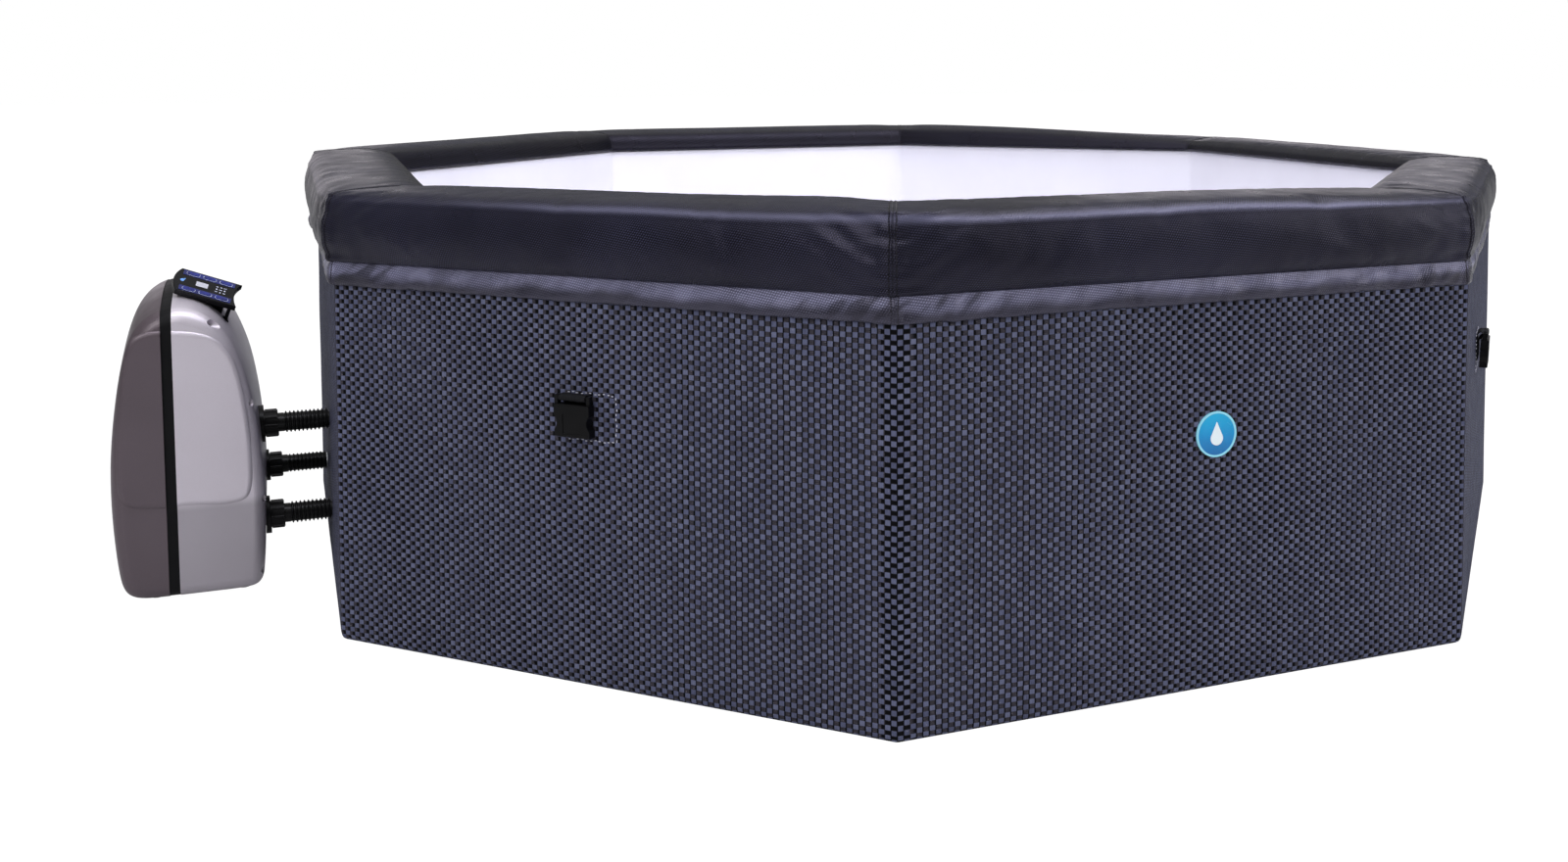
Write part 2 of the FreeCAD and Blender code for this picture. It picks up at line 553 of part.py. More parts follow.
# feet
feet = []
for x, y in ((-1216.0, -118.0), (-1216.0, 118.0), (-1100.0, -118.0), (-1100.0, 118.0)):
    feet.append(fuse([Part.makeCylinder(9.0, 5.6, V(x, y, 0.0)), Part.makeCylinder(3.0, 5.6, V(x, y, 5.6))]))
foot_holes = Part.makeCompound([Part.makeCylinder(3.2, 14.0, V(x, y, 0.0)) for x, y in ((-1216.0, -118.0), (-1216.0, 118.0), (-1100.0, -118.0), (-1100.0, 118.0))])
foot_flat = Part.makeCompound([Part.makeCylinder(9.4, 7.0, V(x, y, -1.2)) for x, y in ((-1216.0, -118.0), (-1216.0, 118.0), (-1100.0, -118.0), (-1100.0, 118.0))])
export("unit_feet", Part.makeCompound(feet))
silver = silver.cut(foot_holes)
taupe = taupe.cut(foot_holes)
taupe = taupe.cut(foot_flat)
silver = silver.cut(foot_flat)

# power lead gland on the far end of the outer shell
GL = (-1222.0, 62.0)
gl = fuse([cy(150.0, 184.0, GL[0], GL[1], 7.5), cy(160.4, 163.4, GL[0], GL[1], 12.0)])
hexp = [V(GL[0] + 10.5 * math.cos(math.radians(60 * i)), 163.4, GL[1] + 10.5 * math.sin(math.radians(60 * i))) for i in range(6)]
gl = fuse([gl, Part.Face(Part.makePolygon(hexp + [hexp[0]])).extrude(V(0, 8.0, 0))])
GLAND_BORE = 4.2
export("power_gland", gl.cut(cy(149.0, 185.0, GL[0], GL[1], GLAND_BORE)))
taupe = taupe.cut(cy(140.0, 170.0, GL[0], GL[1], 7.8))

# ---- the panel ----
sl, tl = math.radians(PANEL_SLOPE), math.radians(PANEL_TILT)
PX = (math.cos(sl), 0.0, -math.sin(sl))
PY = (math.sin(tl) * math.sin(sl), math.cos(tl), math.sin(tl) * math.cos(sl))
PZ = (PX[1] * PY[2] - PX[2] * PY[1], PX[2] * PY[0] - PX[0] * PY[2], PX[0] * PY[1] - PX[1] * PY[0])
print("PANEL AXIS", [round(c, 6) for c in PZ])


def outline(gl_, z):
    """Panel outline moved in by gl_: bowed left end, hollow right end."""
    hl, hw = PANEL_L / 2.0 - gl_, PANEL_W / 2.0 - gl_
    e = [Part.LineSegment(V(-hl + 7.0, -hw, z), V(hl, -hw, z)).toShape(),
         Part.Arc(V(hl, -hw, z), V(hl - 6.5 - 0.2 * gl_, 0, z), V(hl, hw, z)).toShape(),
         Part.LineSegment(V(hl, hw, z), V(-hl + 7.0, hw, z)).toShape(),
         Part.Arc(V(-hl + 7.0, hw, z), V(-hl, 0, z), V(-hl + 7.0, -hw, z)).toShape()]
    return Part.Face(Part.Wire(e))


case = outline(0.0, -5.8).extrude(V(0, 0, 5.7))
case = case.cut(outline(1.6, -4.6).extrude(V(0, 0, 8.0)))
LEAD_U, LEAD_V = 37.5, -18.6
case = case.cut(Part.makeCylinder(2.2, 12.0, V(LEAD_U, LEAD_V, -12.0)))
bez = outline(0.0, 0.0).extrude(V(0, 0, 3.4))
try:
    bez = bez.makeFillet(1.2, [e for e in bez.Edges if abs(e.BoundBox.ZMin - 3.4) < 1e-4 and abs(e.BoundBox.ZMax - 3.4) < 1e-4])
except Exception:
    pass
strips, s_cut = [], []
for v in (-16.2, 16.2):
    s_cut.append(box(-35.2, 36.2, v - 4.9, v + 4.9, 1.6, 6.0))
    strips.append(box(-35.0, 36.0, v - 4.7, v + 4.7, 1.8, 3.9))
BUTTONS = [(u, v) for v in (16.2, -16.2) for u in (-21.5, 1.0, 23.5)]
btn_holes, button_shapes = [], []


def slot_solid(u, v, lx, ly, z0, z1):
    r = ly / 2.0
    h = (lx - ly) / 2.0
    return fuse([Part.makeCylinder(r, z1 - z0, V(u - h, v, z0)), Part.makeCylinder(r, z1 - z0, V(u + h, v, z0)),
                 box(u - h, u + h, v - r, v + r, z0, z1)])


for u, v in BUTTONS:
    btn_holes.append(slot_solid(u, v, 17.2, 6.2, -1.0, 8.0))
    button_shapes.append(fuse([slot_solid(u, v, 16.6, 5.6, -0.5, 4.7)]))
win_cut = box(-16.0, 3.0, -5.6, 5.6, -1.0, 6.0)
bezel = bez.cut(Part.makeCompound(s_cut + btn_holes)).cut(win_cut)
window = fuse([box(-15.7, 2.7, -5.3, 5.3, 0.5, 3.5)])
strips = [s.cut(Part.makeCompound(btn_holes)) for s in strips]
board = fuse([outline(2.2, -4.3).extrude(V(0, 0, 1.5)), box(-15.0, 2.0, -5.0, 5.0, -2.9, 0.2)])
board = board.cut(Part.makeCylinder(2.8, 12.0, V(LEAD_U, LEAD_V, -8.0)))
for (u, v) in BUTTONS:
    board = fuse([board, box(u - 2.2, u + 2.2, v - 2.2, v + 2.2, -3.0, -1.8)])
LEAD_LEN = 96.0
lead = Part.makeCylinder(1.9, LEAD_LEN, V(LEAD_U, LEAD_V, -LEAD_LEN - 3.0))
lead = fuse([lead, Part.makeCylinder(2.6, LEAD_LEN - 4.0, V(LEAD_U, LEAD_V, -LEAD_LEN - 3.0))])
export("panel_back_case", place(case, PANEL_C, PX, PY, PZ))
export("panel_front_bezel", place(bezel, PANEL_C, PX, PY, PZ))
export("display_window", place(window, PANEL_C, PX, PY, PZ))
export("panel_strips", Part.makeCompound([place(s, PANEL_C, PX, PY, PZ) for s in strips]))
export("panel_board", place(board, PANEL_C, PX, PY, PZ))
export("panel_lead", place(lead, PANEL_C, PX, PY, PZ))
for i, s in enumerate(button_shapes):
    export("button_%d" % (i + 1), place(s, PANEL_C, PX, PY, PZ))

# the lead's hole through the shell, with a rubber grommet
lead_hole = place(Part.makeCylinder(5.3, 84.0, V(LEAD_U, LEAD_V, -90.0)), PANEL_C, PX, PY, PZ)
grom = place(Part.makeCylinder(4.9, 62.0, V(LEAD_U, LEAD_V, -70.0)), PANEL_C, PX, PY, PZ)
grom_in = place(Part.makeCylinder(2.9, 120.0, V(LEAD_U, LEAD_V, -110.0)), PANEL_C, PX, PY, PZ)
grommet = grom.common(unit_body(-1.0)).cut(unit_body(SHELL_T + 1.2)).cut(grom_in)
silver = silver.cut(lead_hole)


# cradle between the shell's top and the panel
crad = place(box(-34.0, 30.0, -15.0, 16.0, -60.0, -6.1), PANEL_C, PX, PY, PZ)
crad = crad.cut(unit_body(-0.25)).cut(place(Part.makeCylinder(4.0, 80.0, V(LEAD_U, LEAD_V, -80.0)), PANEL_C, PX, PY, PZ))
crad = max(crad.Solids, key=lambda s: s.BoundBox.ZMax)
export("panel_cradle", crad)

export("housing_tub_side", silver)
export("housing_outer", taupe)

# ---- port fittings, union nuts, gaskets, cuffs and ribbed hoses ----
outer_form = unit_body(-0.25)


def union(tag, y, z, r_nut, r_crest, r_root):
    flange_ = cx(FLANGE_X - 4.5, FLANGE_X + 3.0, y, z, 28.0 if tag != "air" else 25.0).cut(outer_form)
    fit_ = fuse([flange_, cx(-1088.0, -1046.0, y, z, 16.2)])
    fit_ = fit_.cut(cx(-1090.0, -1040.0, y, z, 12.5))
    gas = ringx(-1045.8, -1044.2, y, z, 16.0, 12.5)
    nut = cx(NUT_X0, NUT_X1, y, z, r_nut - 1.2)
    rb = [Part.makeCylinder(2.2, NUT_X1 - NUT_X0 - 2.0, V(NUT_X0 + 1.0, y + (r_nut - 2.0) * math.cos(math.radians(36 * i)),
                                                          z + (r_nut - 2.0) * math.sin(math.radians(36 * i))), V(1, 0, 0)) for i in range(10)]
    nut = fuse([nut] + rb).cut(cx(NUT_X0 - 1, NUT_X1 - 3.2, y, z, 16.5)).cut(cx(NUT_X0 - 1, NUT_X1 + 1, y, z, 14.5))
    export("union_nut_" + tag, nut)
    cuff = fuse([cx(-1044.0, -1041.0, y, z, 16.1), cx(-1041.2, HOSE_X0, y, z, 14.2)]).cut(cx(-1045.0, HOSE_X0 + 1, y, z, 11.6))
    # ribbed hose from the cuff to the wall
    end = -(wall_a(z - r_crest)) - 0.5
    n = int((end - HOSE_X0) / HOSE_PITCH)
    pitch = (end - HOSE_X0) / n
    prof = []
    x = HOSE_X0 + 0.02
    for i in range(n):
        prof += [(x, r_root), (x + 0.26 * pitch, r_root), (x + 0.40 * pitch, r_crest - 0.5), (x + 0.46 * pitch, r_crest),
                 (x + 0.62 * pitch, r_crest), (x + 0.68 * pitch, r_crest - 0.5), (x + 0.82 * pitch, r_root)]
        x += pitch
    prof.append((end, r_root))
    ri = 12.0 if r_root > 12.6 else r_root - 0.9
    pl = [V(px_, y, z + r_) for px_, r_ in prof] + [V(end, y, z + ri), V(HOSE_X0 + 0.02, y, z + ri)]
    f = Part.Face(Part.makePolygon(pl + [pl[0]]))
    hose = f.revolve(V(0, y, z), V(1, 0, 0), 360.0)
    return gas, cuff, fit_, hose


g1, c1, f1, h1 = union("upper", PORT_U[0], PORT_U[1], 21.0, 16.2, 13.6)
g2, c2, f2, h2 = union("lower", PORT_L[0], PORT_L[1], 21.0, 16.2, 13.6)
g3, c3, f3, h3 = union("air", PORT_A[0], PORT_A[1], 20.0, 14.6, 12.8)
export("rubber_seals", Part.makeCompound([g1, g2, g3, grommet]))
export("port_fittings", Part.makeCompound([f1, f2, f3]))
export("ribbed_hoses", Part.makeCompound([h1, h2, h3, c1, c2, c3]))

# ---- machinery inside the unit ----
# water pump on the inlet's axis
py, pz = PORT_L
vol = fuse([cx(-1132.0, -1098.0, py, pz, 44.0), cx(-1098.1, -1088.3, py, pz, 16.0), cyl((-1115.0, py + 30.0, pz), (0, 0, 1), 12.0, 52.0)])
vol = vol.cut(cx(-1128.0, -1102.0, py, pz, 38.0)).cut(cx(-1110.0, -1080.0, py, pz, 12.5)).cut(cx(-1135.0, -1120.0, py, pz, 6.0))
vol = vol.cut(cyl((-1115.0, py + 30.0, pz), (0, 0, 1), 9.5, 60.0))
export("pump_volute", vol)
imp = fuse([cx(-1126.5, -1123.5, py, pz, 35.0), cx(-1126.5, -1106.0, py, pz, 8.0), cx(-1150.0, -1126.5, py, pz, 4.0)])
vanes = []
for i in range(6):
    b = box(-1123.7, -1108.0, 7.0, 34.0, -1.1, 1.1)
    b.rotate(V(0, 0, 0), V(1, 0, 0), 60.0 * i)
    b.translate(V(0, py, pz))
    vanes.append(b)
export("pump_impeller", fuse([imp] + vanes))
mot = cx(-1232.0, -1132.3, py, pz, 36.0)
mribs = []
for i in range(18):
    b = box(-1222.0, -1146.0, 35.0, 38.5, -1.0, 1.0)
    b.rotate(V(0, 0, 0), V(1, 0, 0), 20.0 * i)
    b.translate(V(0, py, pz))
    mribs.append(b)
export("pump_motor", fuse([mot] + mribs).cut(cx(-1152.0, -1130.0, py, pz, 4.35)))

# heater tube on the outlet's axis, element inside
hy, hz = PORT_U
ht = fuse([cx(-1238.0, -1104.0, hy, hz, 25.0), cx(-1104.0, -1088.3, hy, hz, 16.0), cyl((-1218.0, hy, hz), (0, 0, -1), 12.0, 42.0)])
ht = ht.cut(cx(-1235.0, -1107.0, hy, hz, 22.5)).cut(cx(-1110.0, -1080.0, hy, hz, 12.5)).cut(cyl((-1218.0, hy, hz), (0, 0, -1), 9.5, 50.0))
ht = ht.cut(cx(-1240.0, -1230.0, hy + 9.0, hz, 3.4)).cut(cx(-1240.0, -1230.0, hy - 9.0, hz, 3.4))
export("heater_tube", ht)
el = [cx(-1246.0, -1126.0, hy + 9.0, hz, 3.1), cx(-1246.0, -1126.0, hy - 9.0, hz, 3.1)]
tor = Part.makeTorus(9.0, 3.1, V(-1126.0, hy, hz), V(0, 0, 1), -180, 180, 360)
tor = tor.common(box(-1126.0, -1100.0, hy - 20, hy + 20, hz - 10, hz + 10))
export("heating_element", fuse(el + [tor]))

# pipe from the pump's outlet to the heater
def pipe(points, ro, ri):
    def run(r, ext):
        s = []
        n_ = len(points)
        for i in range(n_ - 1):
            a, b = V(*points[i]), V(*points[i + 1])
            d = b.sub(a)
            l = d.Length
            u = V(d.x / l, d.y / l, d.z / l)
            if ext and i == 0:
                a = a.sub(u)
                l += 1.0
            if ext and i == n_ - 2:
                l += 1.0
            s.append(Part.makeCylinder(r, l, a, u))
            if i:
                s.append(Part.makeSphere(r, V(*points[i])))
        return fuse(s)
    return run(ro, False).cut(run(ri, True))


zt = pz + 52.4
xfer = (pipe([(-1115.0, py + 30.0, zt), (-1115.0, py + 30.0, zt + 14.0), (-1218.0, py + 30.0, zt + 14.0),
                              (-1218.0, hy, zt + 14.0), (-1218.0, hy, hz - 42.4)], 12.0, 9.5))

# air blower on the air port's axis, with a check valve
by, bz_ = PORT_A
bh = fuse([cx(-1172.0, -1128.0, by, bz_, 40.5), cx(-1128.1, -1122.3, by, bz_, 16.8)])
bh = bh.cut(cx(-1168.0, -1132.0, by, bz_, 37.0)).cut(cx(-1140.0, -1120.0, by, bz_, 13.5)).cut(cx(-1175.0, -1160.0, by, bz_, 6.0))
gr = [box(-1160.0 + 7.0 * i, -1156.0 + 7.0 * i, by - 18.0, by + 18.0, bz_ + 28.0, bz_ + 60.0) for i in range(4)]
export("blower_housing", bh.cut(Part.makeCompound(gr)))
fan = fuse([cx(-1166.0, -1163.5, by, bz_, 34.0), cx(-1166.0, -1138.0, by, bz_, 9.0), cx(-1190.0, -1166.0, by, bz_, 3.6)])
bl = []
for i in range(12):
    b = box(-1163.6, -1138.0, 20.0, 33.5, -0.9, 0.9)
    b.rotate(V(0, 0, 0), V(1, 0, 0), 30.0 * i)
    b.translate(V(0, by, bz_))
    bl.append(b)
export("blower_fan", fuse([fan] + bl))
export("blower_motor", cx(-1238.0, -1172.3, by, bz_, 32.0).cut(cx(-1192.0, -1170.0, by, bz_, 3.95)))
cv = fuse([cx(-1122.0, -1088.3, by, bz_, 18.0), cx(-1122.0, -1116.0, by, bz_, 21.0)])
cv = cv.cut(cx(-1125.0, -1110.6, by, bz_, 11.0)).cut(cx(-1110.6, -1080.0, by, bz_, 15.5))
export("inner_pipework", Part.makeCompound([xfer, cv]))
flap = fuse([cx(-1110.2, -1108.8, by, bz_ - 0.5, 12.6), cyl((-1109.5, by - 5.0, bz_ + 12.4), (0, 1, 0), 0.9, 10.0)])
export("check_valve_flap", flap)

# control box with board
cb_o = box(-1236.0, -1108.0, 10.0, 112.0, 262.0, 300.0)
cb = cb_o.cut(box(-1233.5, -1110.5, 12.5, 109.5, 264.5, 302.0))
cb = cb.cut(cyl((-1172.0, 8.0, 285.0), (0, 1, 0), 7.0, 8.0))
lid = fuse([box(-1236.0, -1108.0, 10.0, 112.0, 300.3, 303.0), box(-1233.1, -1110.9, 12.9, 109.1, 297.5, 300.4).cut(box(-1231.1, -1112.9, 14.9, 107.1, 290.0, 302.0))])
export("control_box", Part.makeCompound([cb, lid]))
pcb = fuse([box(-1230.0, -1114.0, 16.0, 106.0, 270.0, 271.6), box(-1222.0, -1196.0, 24.0, 50.0, 271.6, 286.0),
            box(-1186.0, -1150.0, 24.0, 60.0, 271.6, 281.0), box(-1140.0, -1122.0, 70.0, 98.0, 271.6, 288.0),
            cyl((-1160.0, 82.0, 271.5), (0, 0, 1), 8.0, 16.0)])
export("control_board", pcb)

# tray with saddles that carry pump, blower, heater and control box
tray = [box(-1234.0, -1092.0, -118.0, 118.0, 13.8, 16.8)]
for x in (-1212.0, -1114.0):
    for y in (-100.0, 100.0):
        tray.append(box(x - 6.0, x + 6.0, y - 6.0, y + 6.0, 9.6, 14.0))
for x in (-1216.0, -1160.0):
    tray.append(box(x - 4.0, x + 4.0, py - 18.0, py + 30.0, 16.4, pz - 20.0))
for x in (-1222.0, -1186.0):
    tray.append(box(x - 4.0, x + 4.0, by - 30.0, by + 18.0, 16.4, bz_ - 16.0))
for x, y in ((-1228.0, 22.0), (-1228.0, 44.0), (-1116.0, 22.0), (-1116.0, 44.0)):
    tray.append(box(x - 5.0, x + 5.0, y - 4.0, y + 4.0, 16.4, 261.7))
tray.append(box(-1160.0, -1154.0, hy - 14.0, hy + 14.0, 16.4, hz - 12.0))
tray = fuse(tray)
tray = tray.cut(cx(-1250.0, -1080.0, py, pz, 39.0)).cut(cx(-1250.0, -1080.0, hy, hz, 25.3))
tray = tray.cut(cx(-1174.0, -1080.0, by, bz_, 40.8)).cut(cx(-1250.0, -1174.0, by, bz_, 32.3)).cut(cx(-1134.0, -1096.0, py, pz, 44.4))
tray = tray.cut(Part.makeCompound([Part.makeCylinder(4.0, 14.0, V(x, y, 0.0)) for x, y in ((-1216.0, -118.0), (-1216.0, 118.0), (-1100.0, -118.0), (-1100.0, 118.0))]))
tray = tray.cut(pipe([(-1115.0, py + 30.0, zt - 60), (-1115.0, py + 30.0, zt + 14.0), (-1218.0, py + 30.0, zt + 14.0),
                      (-1218.0, hy, zt + 14.0), (-1218.0, hy, hz - 30.0)], 12.6, 0.01))
export("equipment_tray", tray)
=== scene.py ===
import bpy
import math
import numpy as np
from mathutils import Matrix, Vector


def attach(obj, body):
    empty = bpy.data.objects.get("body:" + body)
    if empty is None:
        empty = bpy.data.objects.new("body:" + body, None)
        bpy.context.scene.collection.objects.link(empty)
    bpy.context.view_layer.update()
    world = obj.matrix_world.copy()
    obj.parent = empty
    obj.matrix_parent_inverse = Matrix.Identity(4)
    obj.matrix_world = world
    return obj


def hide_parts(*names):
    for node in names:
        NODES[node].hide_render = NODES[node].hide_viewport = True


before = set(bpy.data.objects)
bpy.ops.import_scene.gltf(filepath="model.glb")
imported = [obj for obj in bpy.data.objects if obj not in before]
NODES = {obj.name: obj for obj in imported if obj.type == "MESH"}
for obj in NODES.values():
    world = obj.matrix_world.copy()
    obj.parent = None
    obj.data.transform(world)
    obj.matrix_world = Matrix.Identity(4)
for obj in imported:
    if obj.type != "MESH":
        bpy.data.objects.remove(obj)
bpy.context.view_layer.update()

T8 = math.tan(math.radians(22.5))
C8 = math.cos(math.radians(22.5))

# ---------------------------------------------------------------- camera
cam_d = bpy.data.cameras.new("camera")
cam = bpy.data.objects.new("camera", cam_d)
bpy.context.scene.collection.objects.link(cam)
cam_d.lens = 34.625
cam_d.sensor_width = 36.0
cam_d.sensor_fit = "HORIZONTAL"
cam_d.shift_x = -0.0635
cam_d.shift_y = -0.0625
cam_d.clip_end = 100.0
cam_d.dof.use_dof = False
_f = Vector((0.3635, 0.9146, -0.177)).normalized()
_r = _f.cross(Vector((0, 0, 1))).normalized()
_u = _r.cross(_f)
_ro = -0.0022
_r2 = _r * math.cos(_ro) + _u * math.sin(_ro)
_u2 = -_r * math.sin(_ro) + _u * math.cos(_ro)
cam.matrix_world = Matrix(((_r2.x, _u2.x, -_f.x, -1.0068), (_r2.y, _u2.y, -_f.y, -2.4531),
                           (_r2.z, _u2.z, -_f.z, 0.7626), (0, 0, 0, 1)))
bpy.context.scene.camera = cam
bpy.context.scene.view_settings.view_transform = "Standard"


# ---------------------------------------------------------------- noise, in numpy, the same every run
def _hash(ix, iy, seed):
    n = (ix.astype(np.int64) * 374761393 + iy.astype(np.int64) * 668265263 + seed * 1442695041) & 0x7FFFFFFF
    n = ((n ^ (n >> 13)) * 1274126177) & 0x7FFFFFFF
    n = n ^ (n >> 16)
    return (n & 0xFFFF) / 65535.0 * 2.0 - 1.0


def vnoise(x, y, seed=0):
    x = np.asarray(x, float)
    y = np.asarray(y, float)
    ix, iy = np.floor(x), np.floor(y)
    fx, fy = x - ix, y - iy
    sx, sy = fx * fx * fx * (fx * (fx * 6 - 15) + 10), fy * fy * fy * (fy * (fy * 6 - 15) + 10)
    a = _hash(ix, iy, seed)
    b = _hash(ix + 1, iy, seed)
    c = _hash(ix, iy + 1, seed)
    d = _hash(ix + 1, iy + 1, seed)
    return (a * (1 - sx) + b * sx) * (1 - sy) + (c * (1 - sx) + d * sx) * sy


def fbm(x, y, seed=0, octaves=3):
    s, amp, tot = 0.0, 1.0, 0.0
    for o in range(octaves):
        s = s + amp * vnoise(x * 2 ** o, y * 2 ** o, seed + 17 * o)
        tot += amp
        amp *= 0.5
    return s / tot


def sstep(a, b, x):
    t = np.clip((x - a) / (b - a), 0, 1)
    return t * t * (3 - 2 * t)


# ---------------------------------------------------------------- mesh helpers
def grid_mesh(name, P, UV=None, wrap=True, mat=None, body=None, flip=False, smooth=True):
    """Surface through a grid of points P[row, column]; columns close on themselves when wrap is set."""
    R, C = P.shape[:2]
    verts = P.reshape(-1, 3)
    cols = C if wrap else C - 1
    i, j = np.meshgrid(np.arange(R - 1), np.arange(cols), indexing="ij")
    j2 = (j + 1) % C
    q = np.stack([i * C + j, i * C + j2, (i + 1) * C + j2, (i + 1) * C + j], -1).reshape(-1, 4)
    if flip:
        q = q[:, ::-1]
    me = bpy.data.meshes.new(name)
    me.from_pydata(verts.tolist(), [], q.tolist())
    if UV is not None:
        uvl = me.uv_layers.new(name="flat")
        step = UV[0, 1, 0] - UV[0, 0, 0]
        jj = np.stack([j, j + 1, j + 1, j], -1).reshape(-1, 4)
        ii = np.stack([i, i, i + 1, i + 1], -1).reshape(-1, 4)
        if flip:
            jj, ii = jj[:, ::-1], ii[:, ::-1]
        over = jj >= C
        jc = np.where(over, 0, jj)
        uu = UV[ii, jc, 0] + np.where(over, UV[..., 0].max() + step - UV[ii, 0, 0], 0.0)
        vv = UV[ii, jc, 1]
        uvl.data.foreach_set("uv", np.stack([uu, vv], -1).reshape(-1).astype(np.float32))
    if smooth:
        me.polygons.foreach_set("use_smooth", [True] * len(me.polygons))
    me.update()
    ob = bpy.data.objects.new(name, me)
    bpy.context.scene.collection.objects.link(ob)
    if mat:
        me.materials.append(mat)
    if body:
        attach(ob, body)
    return ob


def normals_of(P, wrap=True):
    if wrap:
        du = np.roll(P, -1, 1) - np.roll(P, 1, 1)
    else:
        du = np.gradient(P, axis=1)
    dv = np.gradient(P, axis=0)
    n = np.cross(du, dv)
    l = np.linalg.norm(n, axis=-1, keepdims=True)
    return n / np.maximum(l, 1e-12)


SIDE_REF = 2 * 0.96 * T8          # length of one side in the flat pattern
NEAR = [0.0, 0.0012, 0.0024, 0.0036, 0.0048, 0.006, 0.0078, 0.0105, 0.015, 0.021, 0.029, 0.040]


def side_ts(h, c, n_mid):
    """Distances along a side, finer near its two corners."""
    edge = h - c
    k = min(1.0, edge / 0.10)
    near = [edge - x * k for x in NEAR]
    mid = np.linspace(-near[-1], near[-1], n_mid + 2)[1:-1]
    return np.array([-x for x in near] + list(mid) + near[::-1])


def octagon(a, rc, n_mid, n_arc):
    """Points round an octagon of apothem a with corner radius rc: xy, distance in the flat pattern."""
    h, c = a * T8, rc * T8
    ts = side_ts(h, c, n_mid)
    xs, ys, us = [], [], []
    for k in range(8):
        ph = math.radians(45 * k)
        n, t = (math.cos(ph), math.sin(ph)), (-math.sin(ph), math.cos(ph))
        xs += list(a * n[0] + ts * t[0])
        ys += list(a * n[1] + ts * t[1])
        us += list((k + 0.5 + ts / (2 * h)) * SIDE_REF)
        cc = (a - rc) / C8
        pc = ph + math.radians(22.5)
        for j in range(1, n_arc + 1):
            f = j / (n_arc + 1.0)
            an = ph + math.radians(45 * f)
            xs.append(cc * math.cos(pc) + rc * math.cos(an))
            ys.append(cc * math.sin(pc) + rc * math.sin(an))
            us.append((k + 1 + (2 * f - 1) * c / (2 * h)) * SIDE_REF)
    return np.array(xs), np.array(ys), np.array(us)


def oct_surface(section, rc, n_mid=60, n_arc=2):
    """Grid over a list of (apothem, z) carried round the octagon, with flat-pattern UVs in metres."""
    rows, uvs = [], []
    v = 0.0
    for i, (a, z) in enumerate(section):
        if i:
            v += math.hypot(a - section[i - 1][0], z - section[i - 1][1])
        r = min(rc, a * 0.5)
        x, y, u = octagon(a, r, n_mid, n_arc)
        rows.append(np.stack([x, y, np.full_like(x, z)], -1))
        uvs.append(np.stack([u, np.full_like(u, v)], -1))
    return np.array(rows), np.array(uvs)


def resample(path, step):
    """Smooth curve through (apothem, z) points, cut to about even steps."""
    p = np.array(path, float)
    out = []
    n = len(p)
    for i in range(n - 1):
        p0, p1, p2, p3 = p[max(i - 1, 0)], p[i], p[i + 1], p[min(i + 2, n - 1)]
        m = max(1, int(round(np.linalg.norm(p2 - p1) / step)))
        for j in range(m):
            t = j / m
            q = 0.5 * ((2 * p1) + (-p0 + p2) * t + (2 * p0 - 5 * p1 + 4 * p2 - p3) * t * t + (-p0 + 3 * p1 - 3 * p2 + p3) * t ** 3)
            out.append(tuple(q))
    out.append(tuple(p[-1]))
    return out


def corner_dist(u):
    """Distance in the flat pattern from the nearest corner."""
    f = u / SIDE_REF
    return np.abs(f - np.round(f)) * SIDE_REF


def cloth_relax(P, pin, pressure=0.0, grow=0.0, gravity=0.0, frames=20, cap=0.006, bend=0.5, stiff=15.0):
    """Runs a cloth simulation on grid P, held where pin is 1, and gives how far each point moved."""
    R, C = P.shape[:2]
    ob = grid_mesh("cloth_work", P, flip=True)
    vg = ob.vertex_groups.new(name="pin")
    vg.add(np.nonzero(pin.reshape(-1) > 0.5)[0].tolist(), 1.0, "REPLACE")
    md = ob.modifiers.new("cloth", "CLOTH")
    cs = md.settings
    cs.quality = 6
    cs.mass = 0.3
    cs.tension_stiffness = stiff
    cs.compression_stiffness = stiff
    cs.shear_stiffness = stiff * 0.4
    cs.bending_stiffness = bend
    cs.air_damping = 1.0
    cs.vertex_group_mass = "pin"
    cs.pin_stiffness = 1.0
    cs.shrink_min = -grow
    if pressure:
        cs.use_pressure = True
        cs.uniform_pressure_force = pressure
    cs.effector_weights.gravity = gravity
    md.collision_settings.use_collision = False
    md.collision_settings.use_self_collision = False
    md.point_cache.frame_start = 1
    md.point_cache.frame_end = frames
    sc = bpy.context.scene
    for f in range(1, frames + 1):
        sc.frame_set(f)
    ev = ob.evaluated_get(bpy.context.evaluated_depsgraph_get())
    me = ev.to_mesh()
    co = np.empty(len(me.vertices) * 3, np.float32)
    me.vertices.foreach_get("co", co)
    ev.to_mesh_clear()
    old = ob.data
    bpy.data.objects.remove(ob)
    bpy.data.meshes.remove(old)
    sc.frame_set(1)
    D = co.reshape(R, C, 3).astype(float) - P
    D = np.nan_to_num(D)
    L = np.linalg.norm(D, axis=-1, keepdims=True)
    return D * (cap * np.tanh(L / cap) / np.maximum(L, 1e-9))


def spread(D, rws, cols, R, C, u):
    """Carries moves on chosen rows and columns of a closed grid over to all of it."""
    per = 8 * SIDE_REF
    uc = u[cols]
    order = np.argsort(uc)
    full = np.empty((len(rws), C, 3))
    for i in range(len(rws)):
        for a in range(3):
            full[i, :, a] = np.interp(u, uc[order], D[i, order, a], period=per)
    out = np.empty((R, C, 3))
    for a in range(3):
        for j in range(C):
            out[:, j, a] = np.interp(np.arange(R), rws, full[:, j, a])
    return out


# ---------------------------------------------------------------- material helpers
def lin(c):
    out = []
    for x in c:
        x = x / 255.0
        out.append(x / 12.92 if x <= 0.04045 else ((x + 0.055) / 1.055) ** 2.4)
    return (*out, 1.0)


